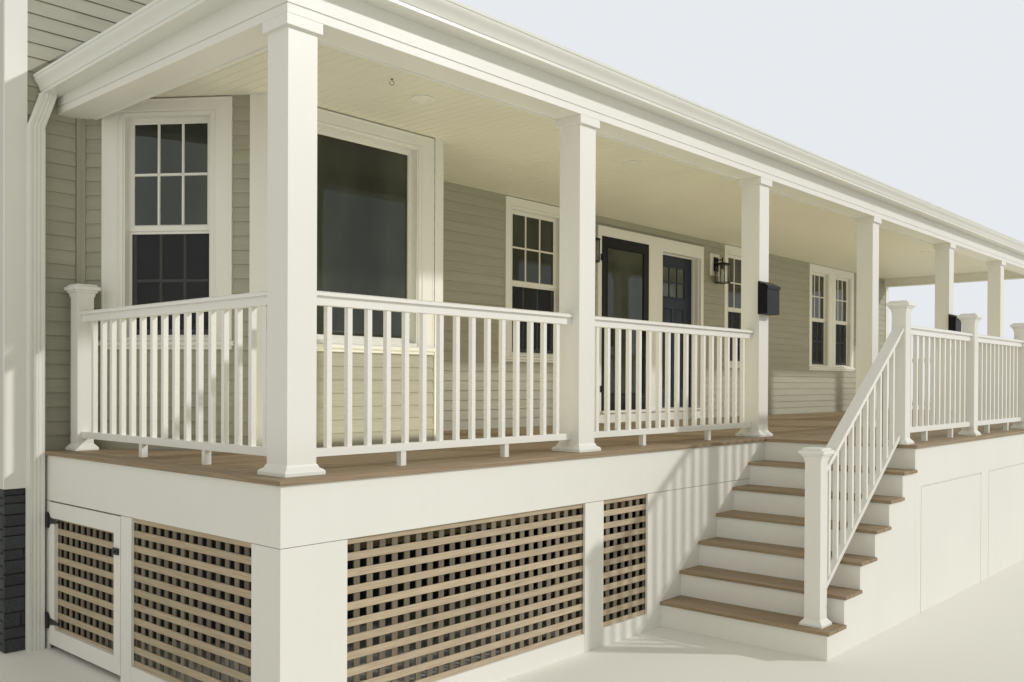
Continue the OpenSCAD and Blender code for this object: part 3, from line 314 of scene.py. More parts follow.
class Surface(Nodes):
    """A material on the Principled shader."""

    def __init__(self, name):
        self.material = bpy.data.materials.new(name)
        super().__init__(self.material)

    def set(self, **inputs):
        self.feed(self.tree.nodes["Principled BSDF"], inputs)

    def where(self):
        return self.put("TexCoord").outputs["Object"]

    def grain(self):
        return self.put("Attribute", {"attribute_name": "grain"}).outputs["Vector"]

    def scaled(self, source, *scale):
        return self.put("Mapping", Vector=source, Scale=scale).outputs["Vector"]

    def noise(self, vector, scale, detail=4.0, rough=0.6):
        node = self.put("TexNoise", Vector=vector, Scale=scale, Detail=detail, Roughness=rough)
        return node.outputs["Fac"]

    def ramp(self, factor, *stops):
        """A colour ramp with stops of (position, grey or colour)."""
        node = self.put("ValToRGB", Fac=factor)
        elements = node.color_ramp.elements
        while len(elements) < len(stops):
            elements.new(0.5)
        for element, (position, colour) in zip(elements, stops):
            element.position = position
            element.color = (*((colour,) * 3 if isinstance(colour, float) else colour), 1)
        return node.outputs["Color"]

    def blend(self, factor, a, b, kind="MULTIPLY"):
        settings = {"data_type": "RGBA", "blend_type": kind}
        return self.put("Mix", settings, i0=factor, i6=a, i7=b).outputs[2]

    def toned(self, colours, grain, factor, variation):
        """Gives each board, tab or stone the tone kept in its grain."""
        tone = self.put("SeparateXYZ", Vector=grain).outputs["Z"]
        return self.blend(factor, colours, self.ramp(tone, (0.0, 1.0 - variation), (1.0, 1.0)))

    def bumped(self, height, strength, distance):
        bump = self.put("Bump", Height=height, Strength=strength, Distance=distance)
        self.set(Normal=bump.outputs["Normal"])
        return self.material


def tint(colour, factor):
    return tuple(min(1.0, c * factor) for c in colour)


def painted(name, colour, rough=0.45, mottling=0.04, grime=0.0, peel=0.05):
    """Painted or moulded surface: faint mottling, a fine orange peel and dust in broad patches."""
    s = Surface(name)
    where = s.where()
    broad = s.noise(where, 1.3, 5.0)
    colours = s.ramp(broad, (0.3, tint(colour, 1 - mottling)), (0.7, colour))
    if grime:
        streaks = s.noise(s.scaled(where, 9.0, 9.0, 1.1), 1.0, 6.0, 0.65)
        mask = s.ramp(streaks, (0.5, 0.0), (0.78, grime))
        colours = s.blend(mask, colours, (*tint(colour, 0.62), 1), "MIX")
    s.set(Base_Color=colours, Roughness=s.ramp(broad, (0.2, rough - 0.06), (0.8, rough + 0.06)))
    return s.bumped(s.noise(where, 260.0, 2.0), 0.25, peel * 0.001)


def grained(name, dark, mid, light, rough, stretch, depth, variation, lines):
    """Board with grain along the piece's own grain direction and a tone of its own."""
    s = Surface(name)
    grain = s.grain()
    streaks = s.noise(s.scaled(grain, *stretch, 23.0), 1.0, 7.0, 0.68)
    broad = s.noise(s.scaled(grain, 0.6, 6.0, 11.0), 1.0, 3.0)
    figure = s.put("TexWave", {"bands_direction": "Y", "wave_profile": "SAW"},
                   Vector=s.scaled(grain, 0.35, 26.0, 7.0), Scale=1.0, Distortion=5.5,
                   Detail=3.0, Detail_Scale=1.4).outputs["Fac"]
    colours = s.ramp(streaks, (0.28, dark), (0.5, mid), (0.74, light))
    rings = s.ramp(figure, (0.0, 1.0), (0.55, 0.9), (1.0, 1.0 - lines))
    colours = s.toned(s.blend(0.6, colours, rings), grain, 0.8, variation)
    colours = s.blend(0.7, colours, s.ramp(broad, (0.35, 0.86), (0.65, 1.0)))
    s.set(Base_Color=colours, Roughness=s.ramp(streaks, (0.2, rough + 0.12), (0.8, rough - 0.05)))
    return s.bumped(streaks, depth, 0.0012)


def glazing(name, colour):
    """Glossy glass whose colour is painted shade of a dim room behind it, darker in soft folds of
    painted shade.
    """
    s = Surface(name)
    where = s.where()
    # Painted shade: the base colour stands in for the dim room behind the glass, darker in soft
    # patches.
    soft = s.noise(s.scaled(where, 1.3, 1.3, 0.45), 1.6, 2.0)
    s.set(Base_Color=s.ramp(soft, (0.35, tint(colour, 0.45)), (0.7, colour)),
          Roughness=0.03, Specular_IOR_Level=0.42)
    return s.bumped(s.noise(where, 2.4, 1.0), 0.06, 0.01)


def granular(name, dark, mid, light, grain_scale=900.0, rough=0.9, depth=0.6, variation=0.4):
    """Mineral granules over tabs or stones that each have a tone of their own."""
    s = Surface(name)
    where = s.where()
    specks = s.noise(where, grain_scale, 2.0, 0.7)
    patches = s.noise(where, 5.0, 6.0, 0.65)
    colours = s.ramp(specks, (0.3, dark), (0.52, mid), (0.72, light))
    colours = s.toned(colours, s.grain(), 0.85, variation)
    colours = s.blend(0.5, colours, s.ramp(patches, (0.3, 0.75), (0.7, 1.0)))
    s.set(Base_Color=colours, Roughness=rough)
    return s.bumped(specks, depth, 0.0015)


def see_through(name, colour, alpha):
    """Fine dark mesh, seen as a veil with a faint weave in its tone."""
    s = Surface(name)
    weave = s.noise(s.where(), 3.0, 3.0)
    s.set(Base_Color=s.ramp(weave, (0.35, tint(colour, 0.85)), (0.65, tint(colour, 1.15))),
          Alpha=alpha, Roughness=0.7)
    return s.material


def clear_glass(name):
    """Clear blown glass with a faint waviness."""
    s = Surface(name)
    where = s.where()
    s.set(Base_Color=(0.97, 0.98, 0.97, 1), Transmission_Weight=1.0, IOR=1.45,
          Roughness=s.ramp(s.noise(where, 30.0, 2.0), (0.3, 0.01), (0.8, 0.06)))
    return s.bumped(s.noise(where, 14.0, 1.0), 0.1, 0.001)


def metal_paint(name, colour, rough=0.35, peel=0.2, shine=0.5):
    """Satin paint on metal, a little lighter and rougher where it weathers."""
    s = Surface(name)
    where = s.where()
    broad = s.noise(where, 3.5, 6.0)
    faded = tuple(min(1.0, c * 1.35 + 0.004) for c in colour)
    s.set(Base_Color=s.ramp(broad, (0.35, colour), (0.8, faded)), Specular_IOR_Level=shine,
          Roughness=s.ramp(broad, (0.3, rough - 0.05), (0.75, rough + 0.12)))
    return s.bumped(s.noise(where, 420.0, 2.0), peel, 0.0002)


TRIM = painted("trim_paint", (0.82, 0.812, 0.765), 0.42, 0.035, 0.05)
VINYL = painted("railing_vinyl", (0.84, 0.832, 0.79), 0.36, 0.025, 0.03, 0.03)
METAL_WHITE = painted("gutter_enamel", (0.79, 0.795, 0.745), 0.34, 0.04, 0.03, 0.02)
PLASTER = painted("plaster", (0.66, 0.65, 0.61), 0.85, 0.08, 0.0, 0.6)
CEILING = painted("ceiling_paint", (0.80, 0.765, 0.665), 0.5, 0.04)
LAMP = painted("lamp_enamel", (0.82, 0.82, 0.79), 0.35, 0.02)
BULB = painted("frosted_bulb", (0.86, 0.82, 0.72), 0.3, 0.02)
SIDING = grained("siding_grain", (0.375, 0.365, 0.285), (0.42, 0.41, 0.325), (0.45, 0.44, 0.35),
                 0.62, (3.0, 120.0), 0.22, 0.07, 0.10)
DECKING = grained("deck_grain", (0.25, 0.170, 0.098), (0.37, 0.270, 0.165), (0.48, 0.370, 0.24),
                  0.62, (2.2, 95.0), 0.45, 0.22, 0.35)
# The lattice wood's wide tone spread lets the tones paint shade on the uprights and light on the
# slats.
LATTICE = grained("lattice_wood", (0.40, 0.31, 0.20), (0.58, 0.47, 0.33), (0.70, 0.59, 0.43),
                  0.8, (5.0, 150.0), 0.7, 0.95, 0.3)
FRAMING = grained("framing_wood", (0.24, 0.17, 0.09), (0.38, 0.28, 0.15), (0.50, 0.39, 0.23),
                  0.75, (2.0, 70.0), 0.5, 0.25, 0.4)
SHINGLE = granular("shingle_granules", (0.035, 0.036, 0.04), (0.085, 0.086, 0.09),
                   (0.17, 0.165, 0.16))
STONE = granular("split_stone", (0.03, 0.034, 0.04), (0.06, 0.066, 0.072), (0.12, 0.126, 0.128),
                 160.0, 0.85, 1.0, 0.5)
PIER = granular("concrete", (0.28, 0.275, 0.26), (0.40, 0.39, 0.37), (0.50, 0.49, 0.46),
                300.0, 0.95, 0.5, 0.1)
# Dark glass colours: painted shade of the rooms behind the windows and the door lites.
GLASS = glazing("dark_glazing", (0.050, 0.060, 0.042))
DOOR_PANE = glazing("door_pane", (0.075, 0.09, 0.08))
BLACK = metal_paint("black_paint", (0.006, 0.006, 0.007), 0.40, 0.2, 0.2)
IRON = metal_paint("black_iron", (0.016, 0.015, 0.014), 0.5, 0.5)
DOOR_BLACK = metal_paint("door_black_paint", (0.010, 0.011, 0.012), 0.38, 0.2, 0.3)
NAVY = metal_paint("door_navy_paint", (0.016, 0.023, 0.040), 0.38, 0.2, 0.3)
FLASHING = metal_paint("roof_flashing", (0.30, 0.30, 0.29), 0.42)
SCREEN = see_through("screen_mesh", (0.02, 0.022, 0.026), 0.5)
CLEAR = clear_glass("clear_glass")

SLOT_MATERIAL = {
    "deck_boards": DECKING, "framing": FRAMING, "white_trim": TRIM, "white_vinyl": VINYL,
    "lattice_wood": LATTICE, "black_iron": IRON, "stair_boards": DECKING,
    "ceiling_boards": CEILING, "white_metal": METAL_WHITE, "roof_shingle": SHINGLE,
    "masonry": STONE, "siding": PLASTER, "dark_glass": GLASS, "storm_black": BLACK,
    "door_black": DOOR_BLACK, "door_navy": NAVY, "lamp_trim": LAMP,
}


def dress_cad_nodes():
    """Gives every carried-over CAD node the material of its slot."""
    for node, slot in SLOT_OF.items():
        NODES[node].data.materials.clear()
        NODES[node].data.materials.append(SLOT_MATERIAL[slot])


# Floors and stair

BOARD_W = 0.140
BOARD_GAP = 0.005
BOARD_EDGE = 0.004
BOARD_MAX = 4.88
BOARD_MIN = 0.6
STAGGER = (0.35, 0.8, 0.55, 1.0)
FRAME_TOP = DECK_Z - DECK_T
DECK_EDGES = (-DECK_OUT, PORCH_R + DECK_OUT, -DECK_OUT, WALL_Y)
LANDING_EDGES = (LANDING_L, LANDING_R, -LANDING_OUT, -DECK_OUT - BOARD_GAP)


def bay_edges(y):
    """Left and right x of the bay window's outline at a distance from the columns."""
    slope = BAY_SIDE_W * (WALL_Y - y) / BAY_DEPTH
    return BAY_X + slope, BAY_END - slope


def board_rows(start, end):
    """Even board rows between two edges, as (low, high) pairs."""
    count = round((end - start + BOARD_GAP) / (BOARD_W + BOARD_GAP))
    width = (end - start + BOARD_GAP) / count - BOARD_GAP
    lows = [start + i * (width + BOARD_GAP) for i in range(count)]
    return [(low, low + width) for low in lows]


def cut_lengths(start, end, row):
    """Staggered board lengths along one row."""
    ends, step = [start], STAGGER[row % 4] * BOARD_MAX
    while ends[-1] + step < end - BOARD_MIN:
        ends.append(ends[-1] + step)
        step = BOARD_MAX
    ends.append(end)
    half = BOARD_GAP / 2
    return [(a + half * (a != start), b - half * (b != end)) for a, b in zip(ends, ends[1:])]


def border(boards, left, right, front, back):
    """A board along the front and both ends, mitred at the corners."""
    b = BOARD_W
    outer, inner = ((left, front), (right, front)), ((left + b, front + b), (right - b, front + b))
    for plan, along in ((outer + inner[::-1], 0),
                        ((outer[0], inner[0], (left + b, back), (left, back)), 1),
                        ((outer[1], (right, back), (right - b, back), inner[1]), 1)):
        boards.prism(plan, 2, FRAME_TOP, DECK_Z, along)


def floor_boards(name, edges, turn, cut, node):
    """A border and rows of boards inside it; cut gives the outlines left of each board."""
    boards, inset = Solid(), BOARD_W + BOARD_GAP
    left, right, front, back = edges
    border(boards, *edges)
    for row, (y0, y1) in enumerate(board_rows(front + inset, back)):
        for a, c in cut_lengths(left + inset, right - inset, row + turn):
            for outline in cut(a, c, y0, y1):
                boards.prism(outline, 2, FRAME_TOP, DECK_Z, along=0)
    boards.make(name, "deck_boards", BOARD_EDGE, replaces=[node])


def cut_round_bay(a, c, y0, y1):
    """What is left of the board from a to c once the bay window is cut out of it."""
    if y1 <= BAY_FRONT_Y:
        return [rectangle(a, c, y0, y1)]
    low = max(y0, BAY_FRONT_Y)
    (l0, r0), (l1, r1) = bay_edges(low), bay_edges(y1)
    if y0 < BAY_FRONT_Y and a < r0 and c > l0:
        left_end = [(l0, low), (l1, y1), (a, y1)] if a < l1 else [(a, low)]
        right_end = [(c, y1), (r1, y1), (r0, low)] if c > r1 else [(c, low)]
        return [[(a, y0), (c, y0), *right_end, *left_end]]
    parts = []
    if a < l1:
        parts.append([(a, y0), (min(c, l0), y0), (min(c, l1), y1), (a, y1)])
    if c > r1:
        parts.append([(max(a, r0), y0), (c, y0), (c, y1), (max(a, r1), y1)])
    return parts


def nose_x(k):
    return LANDING_L - (RISERS - k) * TREAD_RUN


def stair_boards():
    """Two boards a tread, with eased edges."""
    boards = Solid()
    for k in range(1, RISERS):
        x0, x1, z = nose_x(k), nose_x(k + 1) + NOSING, k * RISER_H
        width = (x1 - x0 - BOARD_GAP) / 2
        for a in (x0, x0 + width + BOARD_GAP):
            boards.box((a, -LANDING_OUT, z - TREAD_T), (a + width, -SKIRT_OUT, z), along=1)
    boards.make("tread_boards", "stair_boards", BOARD_EDGE, replaces=["stair_treads"])


# Skirt boards and lattice

OPEN_TOP = FRAME_TOP - 0.317
OPEN_FOOT = 0.130
SKIRT_END = 0.300
SKIRT_STILE = 0.075
SKIRT_PIER = 0.140
SKIRT_EDGE = 0.002
SEAM = 0.0015
GATE_Y1 = WALL_Y - 0.105
GATE_Y0 = GATE_Y1 - 1.095
FRONT_OPEN = [
    (SKIRT_END, COL_X[1] - SKIRT_STILE),
    (COL_X[1] + SKIRT_PIER, nose_x(1) - SKIRT_PIER - 0.030),
    (LANDING_R + SKIRT_STILE, COL_X[5] + COL_W - SKIRT_PIER),
    (COL_X[5] + COL_W + SKIRT_STILE, PORCH_R - SKIRT_END),
]
SIDE_OPEN = (SKIRT_PIER, GATE_Y0 - SKIRT_PIER)


def skirt(boards, axis, face, lengths, openings, footed):
    """Top boards, stiles between the openings and foot boards; face is the thickness they fill."""
    def board(a, c, z0, z1, along):
        corners = [(end, side) if axis == 0 else (side, end) for end, side in zip((a, c), face)]
        boards.box((*corners[0], z0), (*corners[1], z1), along)

    for a, c in lengths:
        board(a, c, OPEN_TOP + SEAM, FRAME_TOP, axis)
    edges = [lengths[0][0], *[v for o in openings for v in o], lengths[-1][1]]
    for a, c in zip(edges[::2], edges[1::2]):
        board(a, c, 0, OPEN_TOP - SEAM, 2)
    for a, c in footed:
        board(a + SEAM, c - SEAM, 0, OPEN_FOOT, axis)


def skirts():
    boards, low, end = Solid(), -SKIRT_OUT, PORCH_R + SKIRT_OUT
    face = (low, low + SKIRT_T)
    skirt(boards, 0, face, cut_lengths(low, end, 1), FRONT_OPEN, FRONT_OPEN)
    boards.make("front_skirt_boards", "white_trim", SKIRT_EDGE, replaces=["front_skirt"])
    boards, lengths = Solid(), [(low + SKIRT_T, WALL_Y)]
    skirt(boards, 1, face, lengths, [SIDE_OPEN, (GATE_Y0, GATE_Y1)], [SIDE_OPEN])
    skirt(boards, 1, (end - SKIRT_T, end), lengths, [SIDE_OPEN], [SIDE_OPEN])
    boards.make("side_skirt_boards", "white_trim", SKIRT_EDGE, replaces=["side_skirts"])


SLAT_W = 0.042
SLAT_PITCH = 0.092
SLAT_T = 0.009
SLAT_CLEAR = 0.0002
# Tone ranges of the lattice: dark tones on the uprights behind are painted shade, light tones on
# the slats in front are painted light; the tone varies at random within each range.
UPRIGHT_SHADE_TONE = (0.0, 0.3)
SLAT_LIGHT_TONE = (0.75, 0.25)
LATTICE_LAP = 0.025
LATTICE_LAP_Z = 0.010


def lattice(name, matrices, sizes, node, body=ROOT):
    """Square lattice in each matrix's X-Z plane, back at y = 0: uprights behind, slats in front.
    The uprights get dark tones as painted shade, the slats light tones as painted light.
    """
    panel = Solid()
    for matrix, (w, h) in zip(matrices, sizes):
        panel.matrix = matrix
        nx, nz = (round((v - SLAT_W) / SLAT_PITCH) for v in (w, h))
        for i in range(nx + 1):
            x = i * (w - SLAT_W) / nx
            # Uprights take dark tones of painted shade; slats below take light tones of painted
            # light.
            panel.box((x, -SLAT_T, 0), (x + SLAT_W, 0, h), 2, between(UPRIGHT_SHADE_TONE))
        for k in range(nz + 1):
            z, tone = k * (h - SLAT_W) / nz, between(SLAT_LIGHT_TONE)
            panel.box((0, -2 * SLAT_T, z), (w, -SLAT_T - SLAT_CLEAR, z + SLAT_W), 0, tone)
    panel.make(name, "lattice_wood", 0.0012, 1, [node], body)


def lattice_panels():
    h, z = OPEN_TOP - OPEN_FOOT + 2 * LATTICE_LAP_Z, OPEN_FOOT - LATTICE_LAP_Z
    back, quarter = 2 * SLAT_T - SKIRT_IN, math.pi / 2
    for side, openings in (("left", FRONT_OPEN[:2]), ("right", FRONT_OPEN[2:])):
        node = "front_lattice_" + side
        matrices = [moved(o[0] - LATTICE_LAP, back, z) for o in openings]
        sizes = [(o[1] - o[0] + 2 * LATTICE_LAP, h) for o in openings]
        lattice(node + "_slats", matrices, sizes, node)
    y0, y1 = SIDE_OPEN[0] - LATTICE_LAP, SIDE_OPEN[1] + LATTICE_LAP
    left = moved(back, y1, z) @ turned_z(-quarter)
    right = moved(PORCH_R - back, y0, z) @ turned_z(quarter)
    lattice("side_lattice_slats", [left, right], [(y1 - y0, h)] * 2, "side_lattices")
    low, high = (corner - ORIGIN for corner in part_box("gate_lattice"))
    gate = moved(high.x, high.y, low.z) @ turned_z(-quarter)
    size = (high.y - low.y, high.z - low.z)
    lattice("gate_lattice_slats", [gate], [size], "gate_lattice", "side_gate")


# Ceiling and siding

CEILING_BOARD = 0.089
GROOVE_W = 0.006
GROOVE_D = 0.007
CEILING_PARTS = 3


def ceiling_boards():
    """Boards with a V groove at each joint, running out from the wall."""
    x0, x1, z0, z1 = BEAM_IN, PORCH_R - BEAM_IN, CEILING_Z, CEILING_Z + CEILING_T
    count = round((x1 - x0) / CEILING_BOARD)
    joints = [x0 + i * (x1 - x0) / count for i in range(count + 1)]
    for part in range(CEILING_PARTS):
        first, last = (p * count // CEILING_PARTS for p in (part, part + 1))
        outline = [(joints[first], z1)]
        for a, c in zip(joints[first:last], joints[first + 1:]):
            outline += [(a, z0 + GROOVE_D), (a + GROOVE_W, z0), (c - GROOVE_W, z0)]
        outline += [(joints[last], z0 + GROOVE_D), (joints[last], z1)]
        boards = Solid()
        boards.prism(outline, 1, BEAM_IN, WALL_Y, tone=0.5)
        boards.make(f"ceiling_boards_{part}", "ceiling_boards", replaces=["ceiling"])


LAP = 0.102
LAP_BUTT = 0.013
LAP_TOP = 0.003
LAP_TONE = (0.35, 0.3)
LEAST_LAP = 0.004
LEAST_STRIP = 0.002
STRIP_IN = 0.042
STRIP_EDGE = 0.045
CORNER_TRIM = 0.135
SLIM_TRIM = 0.018
SLIM_END = 0.077
EAVE_FLASH = 0.080

BAY_ANGLE = math.atan2(BAY_DEPTH, BAY_SIDE_W)
BAY_SIDE_LEN = math.hypot(BAY_DEPTH, BAY_SIDE_W)
ON_BAY_LEFT = moved(BAY_X, WALL_Y, 0) @ turned_z(-BAY_ANGLE)
ON_BAY_RIGHT = moved(BAY_R, BAY_FRONT_Y, 0) @ turned_z(BAY_ANGLE)
ON_BAY_FRONT = moved(BAY_L, BAY_FRONT_Y, 0)
SIDE_WIN = (0.311, 0.692)
FRONT_INSET = 0.250
CASING_W = 0.095
TWIN_CASING = 0.1375
SIDE_CASING_W = 0.145
FRONT_CASING_W = 0.155
HEAD_H = 0.095
APRON_H = 0.060
WINDOWS = [(4.795, 0.870, CASING_W, CASING_W), (9.525, 0.870, CASING_W, CASING_W),
           (12.370, 0.695, CASING_W, TWIN_CASING), (13.340, 0.695, TWIN_CASING, CASING_W)]
DOOR_CLEAR = 0.944
DOOR_A = 6.455
DOOR_B = DOOR_A + DOOR_CLEAR + 0.375
DOOR_SILL = 0.150
DOOR_H = 2.078
DOOR_HEAD = DOOR_SILL + DOOR_H + 0.012
STORM_HEAD = DOOR_HEAD + 0.050
DOOR_CASING_H = 0.120
DOOR_CASING = (DOOR_A - 0.115, DOOR_B + DOOR_CLEAR + 0.090)
LANTERN_X = (DOOR_CASING[0] - 0.285, DOOR_CASING[1] + 0.345)
LANTERN_Z = DECK_Z + 1.922
BLOCK_W = 0.250
BLOCK_Z = (LANTERN_Z + 0.112, LANTERN_Z + 0.428)


def roof_top(inward):
    """Top of the roof at a distance inside the column faces."""
    return ROOF_EDGE_Z + ROOF_PITCH * (inward - ROOF_EDGE)


def free_strips(x0, x1, z0, z1, holes):
    """Rectangles of a wall face left free by its holes, as (x0, x1, z0, z1)."""
    edges = sorted({x0, x1, *[min(max(v, x0), x1) for h in holes for v in h[:2]]})
    strips = []
    for a, c in zip(edges, edges[1:]):
        if c - a < LEAST_STRIP:
            continue
        level = z0
        inside = [h for h in holes if h[0] < c - MERGE and h[1] > a + MERGE]
        for _, _, low, high in sorted(inside, key=lambda h: h[2]):
            if low - level > LEAST_LAP:
                strips.append((a, c, level, low))
            level = max(level, high)
        if z1 - level > LEAST_LAP:
            strips.append((a, c, level, z1))
    return strips


def courses(z0, z1):
    """Courses between two levels, each with the level of its butt and its low and high end."""
    for k in range(math.floor((z0 - DECK_Z) / LAP), math.ceil((z1 - DECK_Z) / LAP)):
        butt = DECK_Z + k * LAP
        yield butt, max(butt, z0), min(DECK_Z + (k + 1) * LAP, z1)


def lap_section(butt, a, c):
    out = [LAP_BUTT + (LAP_TOP - LAP_BUTT) * (z - butt) / LAP for z in (a, c)]
    return [(0, a), (-out[0], a), (-out[1], c), (0, c)]


def lap_courses(solid, x0, x1, z0, z1):
    """Courses of lap siding over a rectangle; the face is at y = 0 and the laps stand out to -y."""
    for butt, a, c in courses(z0, z1):
        if c - a >= LEAST_LAP:
            solid.prism(lap_section(butt, a, c), 0, x0, x1, tone=between(LAP_TONE))


def gable_courses(solid):
    """Courses that end on the sloping ends of the roof."""
    for butt, a, c in courses(roof_top(BAY_X - STRIP_EDGE), roof_top(WALL_Y)):
        ends = [(z - roof_top(0)) / ROOF_PITCH for z in (a, a, c, c)]
        rights = [PORCH_R - e for e in ends]
        for x0, x1 in ((BAY_X - STRIP_EDGE, ends), (rights, [max(HOUSE_R, x) for x in rights])):
            solid.prism(lap_section(butt, a, c), 0, x0, x1, tone=0.5)


def siding():
    laps, bay = Solid(moved(0, WALL_Y, 0)), Solid()
    eave, under, top = roof_top(WALL_Y) + EAVE_FLASH, SILL_Z - APRON_H, CEILING_Z
    holes = [(x - cl, x + w + cr, under, HEAD_Z + HEAD_H) for x, w, cl, cr in WINDOWS]
    holes.append((*DOOR_CASING, DECK_Z, DECK_Z + STORM_HEAD + DOOR_CASING_H))
    holes += [(x - BLOCK_W / 2, x + BLOCK_W / 2, *BLOCK_Z) for x in LANTERN_X]
    for region in ((HOUSE_L + CORNER_W, BAY_X - STRIP_EDGE, FOUNDATION_H, eave, []),
                   (BAY_END + STRIP_EDGE, HOUSE_R - CORNER_W, DECK_Z, top, holes),
                   (BAY_X - STRIP_EDGE, HOUSE_R, roof_top(WALL_Y), eave, [])):
        for strip in free_strips(*region):
            lap_courses(laps, *strip)
    gable_courses(laps)
    laps.make("wall_siding", "siding", material=SIDING)
    a, c = SIDE_WIN[0] - SIDE_CASING_W, sum(SIDE_WIN) + SIDE_CASING_W
    w, front_w, inset = BAY_SIDE_LEN, BAY_FRONT_W, FRONT_INSET - FRONT_CASING_W
    for bay.matrix, x0, x1, *hole in (
            (ON_BAY_LEFT, STRIP_IN, w - CORNER_TRIM, a, c),
            (ON_BAY_RIGHT, CORNER_TRIM, w - STRIP_IN, w - c, w - a),
            (ON_BAY_FRONT, SLIM_TRIM, front_w - SLIM_END, inset, front_w - inset)):
        for strip in free_strips(x0, x1, DECK_Z, top, [(*hole, under, top)]):
            lap_courses(bay, *strip)
    bay.make("bay_siding", "siding", material=SIDING)


# Windows

FRAME_W = 0.028
FRAME_D = 0.125
SASH_W = 0.042
SASH_Y = 0.045
SASH_T = 0.032
SASH_FOOT = 0.062
SASH_BEVEL = 0.009
MEET_H = 0.046
FIXED_T = 0.050
GLASS_T = 0.006
BAR_W = 0.022
BAR_OUT = 0.009
SILL_H = 0.034
SILL_OUT = 0.044
SILL_HORN = 0.015
SILL_EDGE = 0.004
SCREEN_W = 0.020
SCREEN_Y = SASH_Y + 0.012
SCREEN_T = 0.009
NET = (0.004, 0.0048)
CASING_PROFILE = ((0, 0.0), (0, -0.014), (0.05, -0.017), (0.12, -0.017), (0.16, -0.011),
                  (0.22, -0.011), (0.25, -0.019), (0.87, -0.019), (0.89, -0.022), (0.985, -0.022),
                  (1, -0.020), (1, 0.0))
BAR_PROFILE = ((-0.5, 0.0), (-0.3, -BAR_OUT), (0.3, -BAR_OUT), (0.5, 0.0),
               (0.3, GLASS_T + BAR_OUT), (-0.3, GLASS_T + BAR_OUT))


def flat(y0, y1):
    """Profile of a plain member from depth y0 to y1."""
    return (0, y0), (1, y0), (1, y1), (0, y1)


def window_trim(solid, w, left, right):
    """Frame, moulded casing, sill and apron; x = 0 at the left of the opening."""
    lap, inner = FRAME_W / 2, (FRAME_W, w - FRAME_W, SILL_Z + FRAME_W, HEAD_Z - FRAME_W)
    casings = (left + lap, right + lap, HEAD_H + lap, 0)
    solid.mitred((lap, w - lap, SILL_Z, HEAD_Z - lap), casings, CASING_PROFILE)
    solid.mitred(inner, (FRAME_W,) * 4, flat(-0.006, FRAME_D))
    foot, under, nose, e = SILL_Z - SILL_H, SILL_Z - APRON_H, -SILL_OUT, SILL_EDGE
    face = -CASING_T
    sill = [(0, foot), (nose + e, foot), (nose, foot + e), (nose, SILL_Z - 2 * e),
            (nose + e, SILL_Z - e), (0, SILL_Z + 2 * e)]
    apron = [(0, under), (face, under), (face, foot - e), (face - e, foot), (0, foot)]
    for outline, horn in ((sill, SILL_HORN), (apron, 0)):
        solid.prism(outline, 0, -left - horn, w + right + horn)


def sash(solid, opening, widths, y, thick=SASH_T):
    profile = ((0, y + SASH_BEVEL), (0.2, y), (1, y), (1, y + thick), (0, y + thick))
    solid.mitred(opening, widths, profile)


def bars(solid, opening, y, columns=3, rows=2):
    """Glazing bars on both faces of a pane whose outer face is at y."""
    x0, x1, z0, z1 = opening
    for i in range(1, columns):
        x = x0 + (x1 - x0) * i / columns
        solid.prism([(x + a * BAR_W, y + d) for a, d in BAR_PROFILE], 2, z0, z1)
    for k in range(1, rows):
        z = z0 + (z1 - z0) * k / rows
        solid.prism([(y + d, z + a * BAR_W) for a, d in BAR_PROFILE], 0, x0, x1)


def double_hung(solid, screens, w, left, right):
    """Two barred sashes, the lower one behind, with an insect screen in front of it."""
    z0, z1 = SILL_Z + FRAME_W, HEAD_Z - FRAME_W
    middle, inset = (z0 + z1) / 2, (SASH_T - GLASS_T) / 2
    a, b = FRAME_W + SASH_W, w - FRAME_W - SASH_W
    upper = (a, b, middle + MEET_H / 2, z1 - SASH_W)
    lower = (a, b, z0 + SASH_FOOT, middle - MEET_H / 2)
    window_trim(solid, w, left, right)
    sash(solid, upper, (SASH_W, SASH_W, SASH_W, MEET_H), SASH_Y)
    sash(solid, lower, (SASH_W, SASH_W, MEET_H, SASH_FOOT), SASH_Y + SASH_T)
    bars(solid, upper, SASH_Y + inset)
    bars(solid, lower, SASH_Y + SASH_T + inset)
    net = shrunk((FRAME_W, w - FRAME_W, z0, middle - MEET_H / 2), SCREEN_W)
    solid.mitred(net, (SCREEN_W,) * 4, flat(SCREEN_Y, SCREEN_Y + SCREEN_T))
    screens.matrix = solid.matrix
    screens.box((net[0], SCREEN_Y + NET[0], net[2]), (net[1], SCREEN_Y + NET[1], net[3]))


def picture_window(solid, w, casing):
    inset = FRAME_W + SASH_W
    window_trim(solid, w, casing, casing)
    sash(solid, (inset, w - inset, SILL_Z + inset, HEAD_Z - inset), (SASH_W,) * 4, SASH_Y, FIXED_T)


def windows():
    screens, units = Solid(), Solid()
    for side, x in ((ON_BAY_LEFT, SIDE_WIN[0]), (ON_BAY_RIGHT, BAY_SIDE_LEN - sum(SIDE_WIN))):
        units.matrix = side @ moved(x, 0, 0)
        double_hung(units, screens, SIDE_WIN[1], SIDE_CASING_W, SIDE_CASING_W)
    units.matrix = ON_BAY_FRONT @ moved(FRONT_INSET, 0, 0)
    picture_window(units, BAY_FRONT_W - 2 * FRONT_INSET, FRONT_CASING_W)
    units.make("bay_window_units", "white_vinyl", 0.0012, 1, ["bay_windows"], material=TRIM)
    units = Solid()
    for x, *sizes in WINDOWS:
        units.matrix = moved(x, WALL_Y, 0)
        double_hung(units, screens, *sizes)
    units.make("wall_window_units", "white_vinyl", 0.0012, 1, ["wall_windows"], material=TRIM)
    screens.make("insect_screens", "dark_glass", material=SCREEN)


STRIP_GAP = 0.010
WALL_STRIP_GAP = 0.004
SLIM_LAP = 0.008
SLIM_CLEAR = 0.012
SLIM_OUT = (0.016, 0.018)


